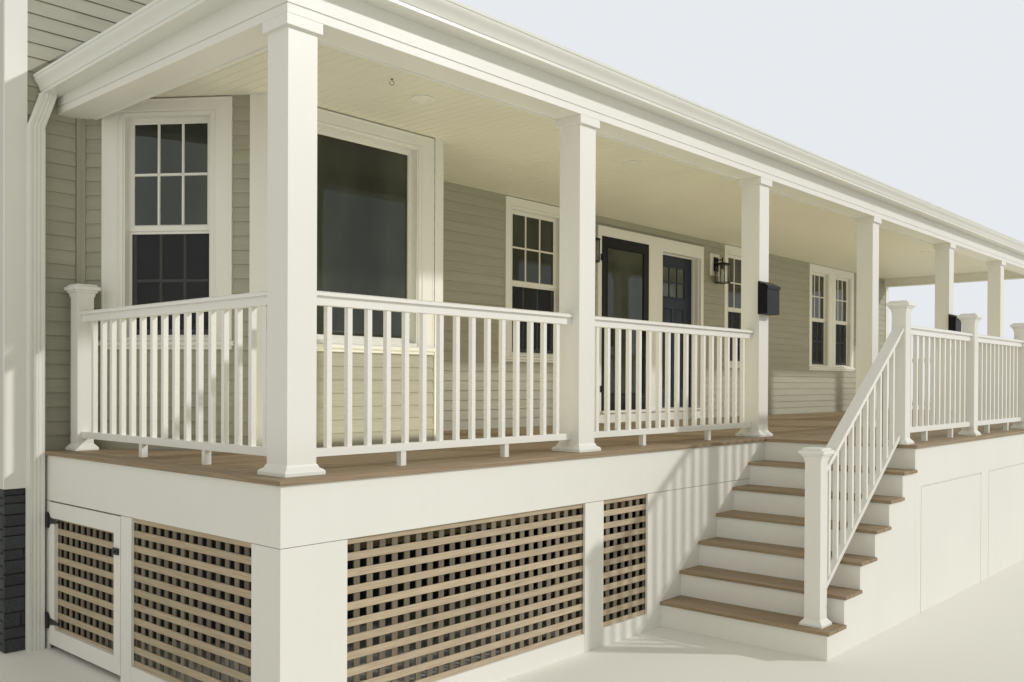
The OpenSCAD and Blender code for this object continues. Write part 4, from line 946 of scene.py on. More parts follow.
def bay_trims():
    """Corner boards of the bay window and slim strips where it meets the wall."""
    trims, strips = Solid(), Solid()
    w, width = BAY_SIDE_LEN, BAY_FRONT_W
    slim = width - FRONT_INSET + FRONT_CASING_W + SLIM_CLEAR
    for solid, matrix, x0, x1, out, back in (
            (trims, ON_BAY_LEFT, w - CORNER_TRIM, w, CASING_T, 0),
            (strips, ON_BAY_LEFT, STRIP_GAP, STRIP_IN, CASING_T, STRIP_GAP),
            (trims, ON_BAY_RIGHT, 0, CORNER_TRIM, CASING_T, 0),
            (strips, ON_BAY_RIGHT, w - STRIP_IN, w - STRIP_GAP, CASING_T, STRIP_GAP),
            (trims, ON_BAY_FRONT, -SLIM_LAP, SLIM_TRIM, SLIM_OUT[0], 0),
            (trims, ON_BAY_FRONT, slim, width + SLIM_LAP, SLIM_OUT[1], 0),
            (strips, moved(BAY_END, WALL_Y, 0), WALL_STRIP_GAP, STRIP_IN, CASING_T, 0),
            (strips, moved(BAY_X, WALL_Y, 0), -STRIP_IN, -WALL_STRIP_GAP, CASING_T, 0)):
        solid.matrix = matrix
        solid.box((x0, -out, DECK_Z), (x1, back, CEILING_Z), 2)
    trims.make("bay_trims", "white_trim", 0.002)
    strips.make("siding_strips", "siding", 0.002, material=SIDING)


# Trim that keeps the CAD shape, with rounded edges, and the newels

SOFT_EDGES = {
    "columns": 0.003, "front_beam": 0.002, "side_beams": 0.002, "front_rails": 0.002,
    "side_rails": 0.002, "stair_rail": 0.002, "landing_rails": 0.002, "stair_stringers": 0.002,
    "stair_risers": 0.002, "landing_skirt": 0.002, "gate_frame": 0.003, "corner_boards": 0.002,
    "door_frame": 0.002, "storm_door": 0.002, "entry_door_left": 0.002, "entry_door_right": 0.002,
    "mailboxes": 0.001, "mailbox_lid_left": 0.0008, "mailbox_lid_right": 0.0008,
    "gate_straps": 0.001, "gate_hinges": 0.001, "door_hinges": 0.001, "ceiling_lights": 0.002,
}
NEWEL_FOOT = mm((26, 0), (26, 16), (18, 26), (6, 40), (0, 48))
NEWEL_CAP = mm((0, 96), (6, 82), (9, 64), (20, 56), (20, 44), (34, 42), (34, 18), (16, 11),
               (16, 3), (10, 0))
NEWEL_H = 1.175
FOOT_NEWEL_H = 1.235
WALL_NEWEL_Y = WALL_Y - NEWEL_W / 2 - 0.097
LANDING_NEWEL_Y = 0.163 - LANDING_OUT
NEWELS = [(COL_W / 2, WALL_NEWEL_Y, DECK_Z, NEWEL_H),
          (nose_x(1) + NEWEL_W / 2 + 0.095, LANDING_NEWEL_Y, RISER_H, FOOT_NEWEL_H),
          *[(x, LANDING_NEWEL_Y, DECK_Z, NEWEL_H) for x in (5.068, 6.906, 8.745, 10.583)],
          (PORCH_R - COL_W / 2, WALL_NEWEL_Y, DECK_Z, NEWEL_H)]


def newels():
    """Square posts with a flared foot and a stepped, nearly flat cap."""
    posts = Solid()
    for x, y, foot, height in NEWELS:
        steps = NEWEL_FOOT + [(out, height - down) for out, down in NEWEL_CAP]
        rings = []
        for out, z in steps:
            r = NEWEL_W / 2 + out
            rings.append([(*corner, foot + z) for corner in rectangle(x - r, x + r, y - r, y + r)])
        posts.loft(rings, tone=0.5)
    posts.make("newel_posts_soft", "white_vinyl", 0.0015, replaces=["newel_posts"])


# Doors and fittings

DOOR_W = 0.930
DOOR_T = 0.044
DOOR_LIFT = 0.006
LITE_W = 0.560
LITE_H = 0.400
LITE_BAR = 0.022
LITE_COLS = 3
LITE_ROWS = 2
LITE_DROP = 0.160
LITE_X = (DOOR_W - LITE_W) / 2
LITE_Z = DOOR_H - LITE_DROP - LITE_H
PANE = (0.008, 0.0125)
PANEL_FOOT = 0.230
PANEL_GAP = 0.060
KNOB_IN = 0.065
BOLT_Z = 1.060
BOLT = mm((30, 2), (30, -6), (26, -12), (20, -14), (18, -22), (6, -24))
FIELD = mm((20, 13), (20, 10), (48, 2))
STICKING_W = 0.014
STICKING = ((0, 0.010), (0, 0.007), (0.5, 0.002), (1, -0.001), (1, 0.012))
LITE_FRAME_W = 0.026
LITE_FRAME = ((0, 0.002), (0, -0.004), (0.25, -0.008), (0.75, -0.008), (1, -0.002), (1, 0.002))


def door_dressing(name, x, knob_x, slot, body):
    """Raised panels, mouldings, lites and a deadbolt on both faces of an entry door."""
    wood, panes, bolt = Solid(), Solid(), Solid()
    cell_w, cell_h, panel_w = ((size - (count - 1) * gap) / count for size, count, gap in (
        (LITE_W, LITE_COLS, LITE_BAR), (LITE_H, LITE_ROWS, LITE_BAR), (LITE_W, 2, PANEL_GAP)))
    left, foot = x + (DOOR_CLEAR - DOOR_W) / 2, DECK_Z + DOOR_SILL + DOOR_LIFT
    outer = moved(left, WALL_Y + WALL_T - DOOR_T, foot)
    inner = outer @ moved(DOOR_W, DOOR_T, 0) @ turned_z(math.pi)
    for matrix, knob in ((outer, knob_x), (inner, DOOR_W - knob_x)):
        wood.matrix = panes.matrix = bolt.matrix = matrix
        for a in (LITE_X, LITE_X + panel_w + PANEL_GAP):
            edges = (a, a + panel_w, PANEL_FOOT, LITE_Z - LITE_DROP)
            wood.stepped(edges, FIELD)
            wood.mitred(shrunk(edges, STICKING_W), (STICKING_W,) * 4, STICKING)
        lites = (LITE_X, LITE_X + LITE_W, LITE_Z, LITE_Z + LITE_H)
        wood.mitred(lites, (LITE_FRAME_W,) * 4, LITE_FRAME)
        for c in range(LITE_COLS):
            for r in range(LITE_ROWS):
                a, z = LITE_X + c * (cell_w + LITE_BAR), LITE_Z + r * (cell_h + LITE_BAR)
                panes.box((a, PANE[0], z), (a + cell_w, PANE[1], z + cell_h))
        bolt.turned(BOLT, (knob, 0, BOLT_Z), 1)
    wood.make(name + "_panels", slot, 0.0008, 1, body=body)
    panes.make(name + "_panes", "dark_glass", body=body, material=DOOR_PANE)
    bolt.make(name + "_deadbolt", slot, body=body, material=IRON)


STORM_L = DOOR_A - 0.033
STORM_R = DOOR_A + DOOR_CLEAR + 0.033
STORM_Z0 = DECK_Z + DOOR_SILL + 0.007
STORM_Z1 = DECK_Z + STORM_HEAD - 0.007
STORM_STILE = 0.110
STORM_HEAD_RAIL = 0.120
STORM_FOOT = 0.200
STORM_FACE = WALL_Y - 0.038
STORM_T = 0.030
BEAD_W = 0.017
BEAD_LAP = 0.009
BEAD_FRONT = ((0, 0.012), (0, 0.004), (0.5, -0.003), (1, -0.003), (1, 0.012))
BEAD_BACK = ((0, -0.012), (0, -0.003), (0.5, 0.002), (1, 0.002), (1, -0.012))
KICK_IN = 0.030
KICK = mm((30, 1), (30, -2), (38, -4))


def storm_details():
    """Glass beading and a raised kick panel on the storm door."""
    bead, foot = Solid(), STORM_Z0 + STORM_FOOT
    glass = (STORM_L + STORM_STILE, STORM_R - STORM_STILE, foot, STORM_Z1 - STORM_HEAD_RAIL)
    for y, profile in ((STORM_FACE, BEAD_FRONT), (STORM_FACE + STORM_T, BEAD_BACK)):
        bead.matrix = moved(0, y, 0)
        bead.mitred(shrunk(glass, BEAD_LAP), (BEAD_W,) * 4, profile)
    bead.matrix = moved(0, STORM_FACE, 0)
    bead.stepped((STORM_L + KICK_IN, STORM_R - KICK_IN, STORM_Z0, foot), KICK)
    bead.make("storm_beading", "storm_black", 0.0006, 1, body="storm_door")


LANTERN_OUT = 0.138
LANTERN_H = 0.262
LANTERN_BARS = 12
LANTERN_BAR = mm((103, -4, 11), (111, 4, 263))
BLOCK_STEPS = mm((0, 2), (0, -16), (10, -22), (18, -22), (20, -30))
PLATE = (-0.064, 0.064, 0.178, 0.378)
PLATE_STEPS = mm((0, -29), (0, -36), (6, -42))
ARM_Z = 0.334
ARM_Y = -0.049
ARM = 0.008
ARM_BACK = -0.040
ARM_BOSS = mm((20, -6), (20, 0), (12, 10))
LANTERN_ROOF = mm((114, 0), (118, 3), (118, 9), (112, 13), (70, 26), (30, 37), (12, 40))
FINIAL = mm((16, 36), (16, 42), (8, 46), (8, 90), (12, 90), (12, 98), (4, 104))
FOOT_RING = mm((94, 0), (112, 0), (112, 12), (94, 12))
BULB_SOCKET = mm((20, 263), (20, 205), (17, 200))
CYLINDER = mm((94, 4), (98, 4), (98, 263), (94, 263))
BULB_PROFILE = mm((12, 202), (18, 180), (29, 155), (30, 140), (24, 122), (10, 112))


def lanterns():
    """White block, black plate and arm, and a barred glass cylinder with a bulb."""
    block, metal, glass, bulb = Solid(), Solid(), Solid(), Solid()
    half = BLOCK_W / 2
    for x in LANTERN_X:
        wall = moved(x, WALL_Y, LANTERN_Z)
        cage = wall @ moved(0, -LANTERN_OUT, 0)
        block.matrix = metal.matrix = wall
        block.stepped((-half, half, *(z - LANTERN_Z for z in BLOCK_Z)), BLOCK_STEPS)
        metal.stepped(PLATE, PLATE_STEPS)
        metal.box((-ARM, -LANTERN_OUT - ARM, ARM_Z - ARM), (ARM, ARM_BACK, ARM_Z + ARM), 1)
        metal.turned(ARM_BOSS, (0, ARM_Y, ARM_Z), 1, 20)
        metal.matrix = glass.matrix = bulb.matrix = cage
        metal.turned(LANTERN_ROOF, (0, 0, LANTERN_H), sides=48)
        metal.turned(FINIAL, (0, 0, LANTERN_H), sides=20)
        metal.turned(FOOT_RING, sides=48, closed=True)
        metal.turned(BULB_SOCKET, sides=20)
        for i in range(LANTERN_BARS):
            metal.matrix = cage @ turned_z((i + 0.5) * 2 * math.pi / LANTERN_BARS)
            metal.box(*LANTERN_BAR, 2)
        glass.turned(CYLINDER, sides=48, closed=True)
        bulb.turned(BULB_PROFILE, sides=24)
    node = ["wall_lantern"]
    block.make("lantern_blocks", "white_trim", 0.001, replaces=node)
    metal.make("lantern_metal", SLOT_OF["wall_lantern"], 0.0008, 1, node, material=BLACK)
    glass.make("lantern_glass", "dark_glass", replaces=node, material=CLEAR)
    bulb.make("lantern_bulbs", "lamp_trim", replaces=node, material=BULB)


LIGHT_Y = 0.900
LIGHT_SHARE = 0.72
LENS = mm((62, 2), (62, -3), (50, -4.5), (20, -5.5), (4, -6))
HOOK = (1.326, 0.733)
HOOK_TURN = -0.8
HOOK_R = 0.015
HOOK_DROP = 0.027
HOOK_WIRE = 0.002
HOOK_ARC = (-140, 175)
HOOK_RINGS = 15
HOOK_SHANK = mm((2, -13), (2, -4), (8, -4), (8, 1))
BEAM_BEAD = mm((-12, -10), (6, -10), (10, -5), (10, 12), (-12, 12))
BEAD_CLEAR = 0.110


def ceiling_fittings():
    """Frosted lenses in the ceiling lights, a plant hook and a bead along the beam."""
    lenses, hook, bead = Solid(), Solid(), Solid()
    for x, width in zip(COL_X, BAY_WIDTHS):
        lenses.turned(LENS, (x + width * LIGHT_SHARE, LIGHT_Y, CEILING_Z))
    lenses.make("light_lenses", "lamp_trim", material=BULB)
    turns = [math.pi * k / 5 for k in range(10)]
    section = [(HOOK_WIRE * math.cos(a), HOOK_WIRE * math.sin(a)) for a in turns]
    rings = []
    for k in range(HOOK_RINGS):
        angle = math.radians(HOOK_ARC[0] + k * (HOOK_ARC[1] - HOOK_ARC[0]) / (HOOK_RINGS - 1))
        out = Vector((math.sin(angle), 0, -math.cos(angle)))
        middle = Vector((0, 0, -HOOK_DROP)) + out * HOOK_R
        rings.append([middle + out * u + Vector((0, v, 0)) for u, v in section])
    hook.matrix = moved(*HOOK, CEILING_Z) @ turned_z(HOOK_TURN)
    hook.loft(rings)
    hook.turned(HOOK_SHANK, sides=12)
    hook.make("ceiling_hook", "black_iron")
    left, right = BEAM_IN, PORCH_R - BEAM_IN
    for at, way, axis, start, end in ((BEAM_IN, 1, 0, left, right),
                                      (left, 1, 1, BEAM_IN, WALL_Y - BEAD_CLEAR),
                                      (right, -1, 1, BEAM_IN, WALL_Y)):
        bead.prism([(at + way * out, BEAM_Z + up) for out, up in BEAM_BEAD], axis, start, end)
    bead.make("beam_bead", "white_trim")


# Roof covering, gutter and downspout

TAB_RUN = 0.139
TAB_W = 0.305
TAB_GAP = 0.008
TAB_BUTT = (0.007, 0.002)
TAB_TOP = 0.002
TAB_LEAST = 0.010
TAB_LAST = 0.020
TAB_SINK = 0.001
ROOF_RUNS = (
    (lambda along, inward: (along, inward), lambda u: (u, PORCH_R - u)),
    (lambda along, inward: (inward, along), lambda u: (u, WALL_Y)),
    (lambda along, inward: (PORCH_R - inward, along), lambda u: (u, WALL_Y)),
)
ENDS = ((0.0, 1), (PORCH_R, -1))


def roof_slab():
    """Low hipped roof whose edge ends over the gutter."""
    slab = Solid()
    edge, wall, right = ROOF_EDGE, WALL_Y, PORCH_R
    for plan in ([(edge, edge), (right - edge, edge), (right - wall, wall), (wall, wall)],
                 [(edge, edge), (wall, wall), (edge, wall)],
                 [(right - edge, edge), (right - edge, wall), (right - wall, wall)]):
        top = [roof_top(min(x, y, right - x)) for x, y in plan]
        slab.prism(plan, 2, [z - ROOF_T for z in top], top, 0)
    slab.make("roof_slab", "roof_shingle", replaces=["roof"])


def shingles():
    """Courses of tabs on the front slope and both ends, half a tab apart from course to course."""
    tabs = Solid()
    for at, limits in ROOF_RUNS:
        course, low = 0, ROOF_EDGE
        while low < WALL_Y - TAB_LAST:
            high = min(low + TAB_RUN, WALL_Y)
            (a0, b0), (a1, b1) = limits(low), limits(high)
            start = a0 + TAB_W * (0.5 * (course % 2) - 1)
            while start < b0:
                left, right = max(start + TAB_GAP / 2, a0), min(start + TAB_W - TAB_GAP / 2, b0)
                start += TAB_W
                if min(right, b1) - max(left, a1) < TAB_LEAST:
                    continue
                plan = [(left, low), (right, low), (min(right, b1), high), (max(left, a1), high)]
                base = [roof_top(u) - TAB_SINK for _, u in plan]
                butt = between(TAB_BUTT)
                top = [z + thick for z, thick in zip(base, (butt, butt, TAB_TOP, TAB_TOP))]
                tabs.prism([at(*p) for p in plan], 2, base, top, 0)
            course, low = course + 1, high
    tabs.make("roof_tabs", "roof_shingle")


CAP_WING = 0.115
CAPS = 29
CAP_LAP = 1.15
CAP_CLEAR = 0.002
CAP_LIFT = (0.014, 0.007)
CAP_SECTION = ((-1, 0), (0, 0), (1, 0), (1, -0.005), (0, -0.006), (-1, -0.005))


def hip_caps():
    """Overlapping bent caps up both hips."""
    caps = Solid()
    drop = CAP_WING * ROOF_PITCH / math.sqrt(2) - CAP_CLEAR
    for corner, way in ENDS:
        for k in range(CAPS):
            rings = []
            for end, lift in zip((k, k + CAP_LAP), CAP_LIFT):
                u = ROOF_EDGE + (WALL_Y - ROOF_EDGE) * min(end / CAPS, 1.0)
                top, ring = roof_top(u) + lift, []
                for side, z in CAP_SECTION:
                    du = CAP_WING * side / math.sqrt(2)
                    ring.append((corner + way * (u + du), u - du, top + z - abs(side) * drop))
                rings.append(ring)
            caps.loft(rings)
    caps.make("hip_caps", "roof_shingle")


GUTTER_Z = DECK_Z + 2.586
GUTTER_H = 0.130
GUTTER_FALL = 0.030
GUTTER_END = 2.778
GUTTER_CAP = 0.002
GUTTER_FACE = mm((0, 130), (0, 0), (121, 0), (121, 20), (127, 23), (131, 40), (137, 55), (146, 70),
                 (157, 83), (163, 94), (164, 106), (170, 110), (172, 128), (168, 130))
GUTTER_INSIDE = mm((166, 112), (160, 108), (159, 95), (154, 86), (143, 73), (134, 57), (128, 42),
                   (124, 26), (118, 22), (118, 3), (3, 3), (3, 130))


def gutter():
    """A moulded gutter on the frieze; its side runs fall towards the wall and end in caps."""
    metal = Solid()

    def ring(section, corner, way, at_wall):
        drop = GUTTER_FALL * (GUTTER_END + FRIEZE_OUT) * at_wall
        return [(corner - way * (FRIEZE_OUT + out), GUTTER_END if at_wall else -FRIEZE_OUT - out,
                 GUTTER_Z + up - drop) for out, up in section]

    stops = ((0.0, 1, True), (0.0, 1, False), (PORCH_R, -1, False), (PORCH_R, -1, True))
    metal.loft([ring(GUTTER_FACE + GUTTER_INSIDE, *stop) for stop in stops], 0)
    for stop in (stops[0], stops[-1]):
        cap = [(x, z) for x, _, z in ring(GUTTER_FACE, *stop)]
        metal.prism(cap, 1, GUTTER_END, GUTTER_END + GUTTER_CAP)
    metal.make("gutter_run", "white_metal", 0.0008, 1, ["gutter", "cornice"])


SPOUT_W = 0.096
SPOUT_D = 0.074
SPOUT_Y = GUTTER_END
SPOUT_TOP = GUTTER_Z - GUTTER_FALL * (GUTTER_END + FRIEZE_OUT) + 0.002
SPOUT_STEPS = mm((0, -62, 0), (-16, -62, 0), (-16, -62, 1.2), (-22, -63, 1.2), (-250, -142, 1.2),
                 (-268, -142, 1.2), (-268, -142, 2.6))
FLUTE = mm((-9, 0), (-5, 3), (5, 3), (9, 0))


def fluted(right, grow, level):
    """Outline of the downspout at a level, with shallow flutes on its two outer faces."""
    left, front = right - SPOUT_W - grow, SPOUT_Y - SPOUT_D - grow
    points = [(left, SPOUT_Y)]
    for k in (2, 1):
        y = front + (SPOUT_D + grow) * k / 3
        points += [(left + deep, y - along) for along, deep in FLUTE]
    points.append((left, front))
    for k in (1, 2, 3):
        x = left + (SPOUT_W + 2 * grow) * k / 4
        points += [(x + along, front + deep) for along, deep in FLUTE]
    points += [(right + grow, front), (right + grow, SPOUT_Y)]
    return [(x, y, level) for x, y in points]


def downspout():
    """Pipe down the wall from the low end of the left gutter, bent outwards under it."""
    pipe = Solid()
    rings = [fluted(x, grow, SPOUT_TOP + drop) for drop, x, grow in SPOUT_STEPS]
    rings.append(fluted(*SPOUT_STEPS[-1][1:], 0.0))
    pipe.loft(rings[::-1])
    pipe.make("downspout_pipe", "white_metal", 0.0015, replaces=["downspout"])


LIP = mm((-2, -14), (-5, -14), (-5, 3), (50, 17), (50, 14), (-2, 1))
APRON_RUN = 0.110
APRON_LOW = ((APRON_RUN, 0.006), (APRON_RUN, 0.009))
APRON_HIGH = mm((4, 10), (4, 60), (1, 60), (1, 6))
HANGER_Z = GUTTER_Z + GUTTER_H - 0.014
HANGER_W = 0.022
HANGER_T = 0.003
HANGER_REACH = 0.166
FRONT_HANGERS = 26
SIDE_HANGERS = 5
HANGER_IN = 0.100
SIDE_HANGER_Y = 0.200
SIDE_HANGER_RUN = WALL_Y - 0.500


def roof_metal():
    """Drip edge round the eaves, flashing at the wall and hangers in the gutter."""
    metal, hangers = Solid(), Solid()
    lip = [(ROOF_EDGE + u, roof_top(ROOF_EDGE) + z) for u, z in LIP]
    metal.prism(lip, 0, [u for u, _ in lip], [PORCH_R - u for u, _ in lip])
    for corner, way in ENDS:
        metal.prism([(corner + way * u, z) for u, z in lip], 1, [u for u, _ in lip], WALL_Y)
    back, foot = roof_top(WALL_Y), roof_top(WALL_Y - APRON_RUN)
    apron = [(u, foot + z) for u, z in APRON_LOW] + [(u, back + z) for u, z in APRON_HIGH]
    metal.prism([(WALL_Y - u, z) for u, z in apron], 0, WALL_Y, PORCH_R - WALL_Y)
    metal.make("roof_flashings", "white_metal", 0.0004, 1, material=FLASHING)
    near, far = FRIEZE_OUT, FRIEZE_OUT + HANGER_REACH
    for i in range(FRONT_HANGERS):
        x = HANGER_IN + (PORCH_R - 2 * HANGER_IN) * i / (FRONT_HANGERS - 1)
        hangers.box((x, -far, HANGER_Z - HANGER_T), (x + HANGER_W, -near, HANGER_Z), 1)
    for i in range(SIDE_HANGERS):
        y = SIDE_HANGER_Y + SIDE_HANGER_RUN * i / (SIDE_HANGERS - 1)
        z = HANGER_Z - GUTTER_FALL * (y + near)
        for x0, x1 in ((-far, -near), (PORCH_R + near, PORCH_R + far)):
            hangers.box((x0, y, z - HANGER_T), (x1, y + HANGER_W, z), 0)
    hangers.make("gutter_hangers", "white_metal", 0.0006, 1)


# Stonework and framing under the deck

CORE_LAP = 0.010
STONE_GAP = 0.006
STONE_OUT = 0.020
STONE_IN = 0.002
STONE_EDGE = 0.004
STONE_SHOULDER = 0.7
STONE_RELIEF = (0.55, 0.45)
STONE_LEAST_H = 0.03
STONE_LEAST_W = 0.02
STONE_H = (0.055, 0.055, 0.04)
STONE_W = (0.11, 0.22, 0.07)


def stone_size(size, left):
    """A random size; what is left after it isn't smaller than the last number of size."""
    rest = size[2]
    step = min(between(size[:2]), left)
    return left if left - step < rest else step


def stone_face(stones, width, height):
    """Ledger stones in uneven courses over a face of the X-Z plane, standing out to -y."""
    z = 0.0
    while z < height - STONE_LEAST_H:
        h, x = stone_size(STONE_H, height - z), 0.0
        while x < width - STONE_LEAST_W:
            w = stone_size(STONE_W, width - x)
            out = STONE_OUT * between(STONE_RELIEF)
            edges = shrunk((x, x + w, z, z + h), STONE_GAP / 2)
            steps = ((0, STONE_IN), (0, -out * STONE_SHOULDER), (STONE_EDGE, -out))
            stones.stepped(edges, steps, 0)
            x += w
        z += h


def masonry():
    """Foundation: a mortared core with split stones on the faces beside the porch."""
    core, stones = Solid(), Solid()
    back, left, right = WALL_Y + WALL_T, HOUSE_L + STONE_OUT, HOUSE_R - STONE_OUT
    core.box((left, WALL_Y, 0), (right, back, FOUNDATION_H), 0)
    wall = WALL_Y + CORE_LAP
    bay = [(BAY_L, BAY_FRONT_Y), (BAY_R, BAY_FRONT_Y), (BAY_END, wall), (BAY_X, wall)]
    core.prism(bay, 2, 0, FOUNDATION_H, 0)
    core.make("foundation_core", "masonry", 0.004, replaces=["foundation"])
    for stones.matrix, width in ((moved(HOUSE_L, WALL_Y, 0), -DECK_OUT - HOUSE_L),
                                 (moved(left, back, 0) @ turned_z(-math.pi / 2), WALL_T),
                                 (moved(right, WALL_Y, 0) @ turned_z(math.pi / 2), WALL_T)):
        stone_face(stones, width, FOUNDATION_H)
    stones.make("foundation_stones", "masonry", 0.002, 1, ["foundation"])


JOIST_Z = FRAME_TOP - 0.184
JOIST_T = 0.038
JOIST_PITCH = 0.406
BAY_CLEAR = 0.05
HEADER_CLEAR = 0.045
BEAM_DROP = 0.235
DROPPED_W = 0.076
PLY_GAP = 0.0005
GIRDER_H = 0.140
GIRDER_CLEAR = 0.020
POST_W = 0.140
PIER_R = 0.150
PIER_H = 0.120
PIER_IN = 0.060
PIER_PROFILE = mm((150, 0), (150, 112), (142, 120))
LANDING_FRONT = NOSING + SKIRT_T - LANDING_OUT
GIRDER_Y = LANDING_FRONT + JOIST_T + PIER_R + GIRDER_CLEAR
LANDING_FRAME = (LANDING_L + NOSING + SKIRT_T, LANDING_R - NOSING - SKIRT_T)


def joist_end(x):
    """How far a joist runs back before the bay window or the rim stops it."""
    end = WALL_Y - JOIST_T
    for edge in (x, x + JOIST_T):
        if BAY_X - BAY_CLEAR < edge < BAY_END + BAY_CLEAR:
            reach = min(edge - BAY_X, BAY_END - edge) * BAY_DEPTH / BAY_SIDE_W
            end = min(end, WALL_Y - min(max(reach, 0), BAY_DEPTH) - HEADER_CLEAR)
    return end


def joists():
    """Joists, rims and dropped beams, cut short in front of the bay window."""
    wood = Solid()

    def joist(x0, x1, y0, y1, along, low=JOIST_Z, high=FRAME_TOP):
        wood.box((x0, y0, low), (x1, y1, high), along)

    front, right, back = -SKIRT_IN, PORCH_R + SKIRT_IN, WALL_Y - JOIST_T
    joist(front, right, front, front + JOIST_T, 0)
    for x0, x1 in ((front, BAY_X - BAY_CLEAR), (BAY_END + BAY_CLEAR, right)):
        joist(x0, x1, back, WALL_Y, 0)
    joist(right - JOIST_T, right, front + JOIST_T, back, 1)
    for i in range(int((right - JOIST_T) / JOIST_PITCH) + 1):
        x = i * JOIST_PITCH + front
        joist(x, x + JOIST_T, front + JOIST_T, joist_end(x), 1)
    ply = DROPPED_W / 2
    for y in (COL_W / 2 - ply, COL_W / 2):
        joist(0, PORCH_R, y + PLY_GAP, y + ply - PLY_GAP, 0, JOIST_Z - BEAM_DROP, JOIST_Z)
    (left, right), front, back = LANDING_FRAME, LANDING_FRONT, -SKIRT_OUT
    joist(left, right, front, front + JOIST_T, 0)
    joist(left, right, back - JOIST_T, back, 0)
    joist(left, right, GIRDER_Y - ply, GIRDER_Y + ply, 0, JOIST_Z - GIRDER_H, JOIST_Z)
    count = int((right - left - JOIST_T) / JOIST_PITCH)
    for x in [left + i * JOIST_PITCH for i in range(count + 1)] + [right - JOIST_T]:
        joist(x, x + JOIST_T, front + JOIST_T, back - JOIST_T, 1)
    wood.make("joist_boards", "framing", 0.002, 1, ["deck_frame"])


def posts_and_piers():
    posts, piers, half = Solid(), Solid(), POST_W / 2
    first, last = LANDING_FRAME[0] + PIER_R + PIER_IN, LANDING_FRAME[1] - PIER_R - PIER_IN
    places = [(x + COL_W / 2, COL_W / 2, JOIST_Z - BEAM_DROP) for x in COL_X]
    places += [(first + i * (last - first) / 3, GIRDER_Y, JOIST_Z - GIRDER_H) for i in range(4)]
    for x, y, top in places:
        posts.box((x - half, y - half, PIER_H), (x + half, y + half, top), 2)
        piers.turned(PIER_PROFILE, (x, y, 0))
    posts.make("ground_posts", "framing", 0.004, replaces=["deck_posts"])
    piers.make("concrete_piers", "masonry", replaces=["deck_posts"], material=PIER)


# Stage, light and camera

FLOOR_SIZE = 120.0
FLOOR_COLOUR = (0.82, 0.805, 0.75, 1)
SUNS = (("key", 1.67, 2.5, (1.0, 0.985, 0.955), (0.66, -0.81, 0.50)),
        ("left_fill", 0.28, 50, (1.0, 0.995, 0.88), (-0.90, -0.25, 0.22)))
SKY_COLOUR = (1.0, 1.0, 0.91, 1)
SKY_STRENGTH = 0.54
BACKDROP_COLOUR = (0.80, 0.83, 0.86, 1)
GLOW_ENERGY = 82.0
GLOW_COLOUR = (1.0, 0.96, 0.66)
GLOW_SIZE = (PORCH_R - 0.8, 1.3)
GLOW_AT = (PORCH_R / 2, 0.95, DECK_Z + 0.03)
CAMERA_AT = (-2.820, -4.113, DECK_Z + 0.494)
CAMERA_TURN = (47.900, -0.324, 0.2415)
CAMERA_OPTICS = (36.0, 33.02, 0.0455)
CAMERA_REACH = 400.0


def build_stage():
    mesh = bpy.data.meshes.new("floor")
    corners = rectangle(-FLOOR_SIZE, FLOOR_SIZE, -FLOOR_SIZE, FLOOR_SIZE)
    mesh.from_pydata([(*corner, 0) for corner in corners], [], [(0, 1, 2, 3)])
    paper = Surface("floor_paper")
    paper.set(Base_Color=FLOOR_COLOUR, Roughness=0.9)
    mesh.materials.append(paper.material)
    linked("floor", mesh)


def build_world():
    """Even pale light all round; camera, glossy and transmission rays see the pale backdrop."""
    world = bpy.data.worlds.new("studio")
    bpy.context.scene.world = world
    nodes = Nodes(world)
    rays = nodes.put("LightPath").outputs
    seen = rays["Is Camera Ray"]
    for ray in ("Is Transmission Ray", "Is Glossy Ray"):
        seen = nodes.put("Math", {"operation": "MAXIMUM"}, i0=seen, i1=rays[ray]).outputs[0]
    light = nodes.put("Background", Color=SKY_COLOUR, Strength=SKY_STRENGTH)
    shown = nodes.put("Background", Color=BACKDROP_COLOUR, Strength=1.0)
    mix = nodes.put("MixShader", Fac=seen, i1=light.outputs[0], i2=shown.outputs[0])
    nodes.feed(nodes.tree.nodes["World Output"], {"Surface": mix.outputs[0]})


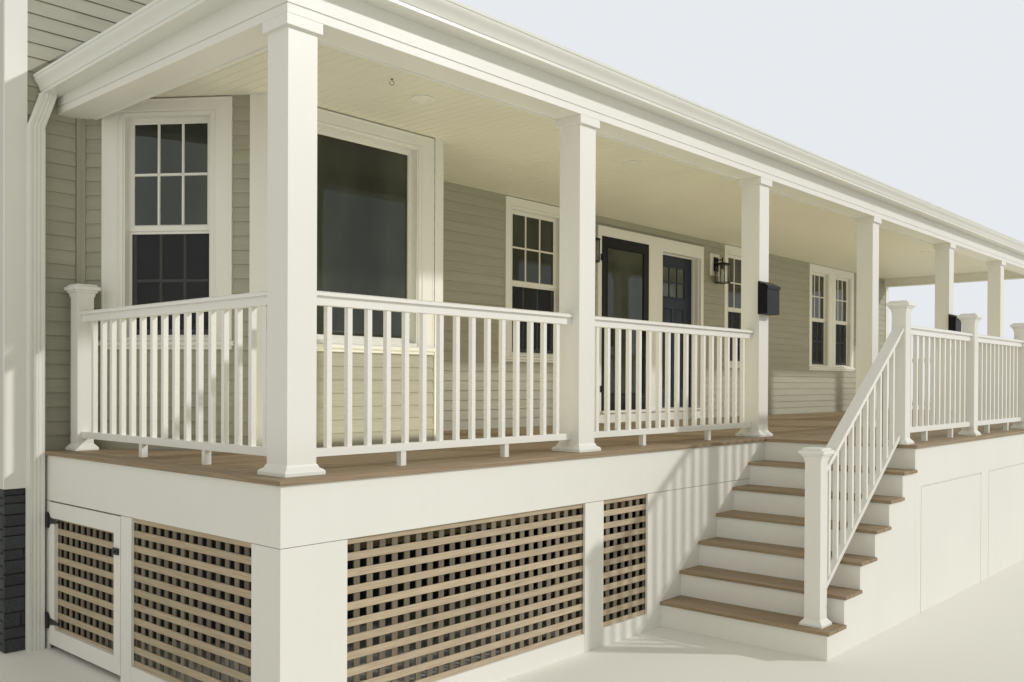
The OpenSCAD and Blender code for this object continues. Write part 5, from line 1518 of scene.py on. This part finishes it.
def build_lights():
    """A key from the right, a faint fill from the left and a warm panel that lights the ceiling."""
    for name, energy, angle, colour, towards in SUNS:
        light = bpy.data.lights.new(name, "SUN")
        light.energy, light.angle, light.color = energy, math.radians(angle), colour
        lamp = linked(name, light)
        lamp.rotation_mode = "QUATERNION"
        lamp.rotation_quaternion = Vector(towards).to_track_quat("Z", "Y")
    glow = bpy.data.lights.new("deck_glow", "AREA")
    glow.shape = "RECTANGLE"
    glow.size, glow.size_y = GLOW_SIZE
    glow.energy, glow.color = GLOW_ENERGY, GLOW_COLOUR
    panel = linked("deck_glow", glow)
    panel.location = place(GLOW_AT)
    panel.rotation_euler = (math.pi, 0, 0)
    panel.visible_camera = panel.visible_glossy = False


def build_camera():
    """Camera at the photograph's place, solved from its straight edges."""
    camera = bpy.data.cameras.new("camera")
    camera.sensor_width, camera.lens, camera.shift_y = CAMERA_OPTICS
    camera.clip_end = CAMERA_REACH
    holder = linked("camera", camera)
    yaw, pitch, roll = (math.radians(v) for v in CAMERA_TURN)
    level, cos, sin = math.cos(pitch), math.cos(roll), math.sin(roll)
    forward = Vector((math.sin(yaw) * level, math.cos(yaw) * level, math.sin(pitch)))
    right = Vector((math.cos(yaw), -math.sin(yaw), 0.0))
    up = right.cross(forward)
    turn = Matrix((cos * right + sin * up, cos * up - sin * right, -forward)).transposed().to_4x4()
    holder.matrix_world = Matrix.Translation(place(CAMERA_AT)) @ turn
    bpy.context.scene.camera = holder


dress_cad_nodes()
floor_boards("deck_boards", DECK_EDGES, 0, cut_round_bay, "deck_floor")
floor_boards("landing_boards", LANDING_EDGES, 1, lambda *e: [rectangle(*e)], "landing_floor")
stair_boards()
skirts()
lattice_panels()
ceiling_boards()
siding()
windows()
bay_trims()
for node, bevel in SOFT_EDGES.items():
    softened(node, bevel)
newels()
door_dressing("left_entry", DOOR_A, DOOR_W - KNOB_IN, "door_black", "left_entry_door")
door_dressing("right_entry", DOOR_B, KNOB_IN, "door_navy", "right_entry_door")
storm_details()
lanterns()
ceiling_fittings()
roof_slab()
shingles()
hip_caps()
gutter()
downspout()
roof_metal()
masonry()
joists()
posts_and_piers()
build_stage()
build_world()
build_lights()
build_camera()
bpy.context.scene.view_settings.view_transform = "Standard"
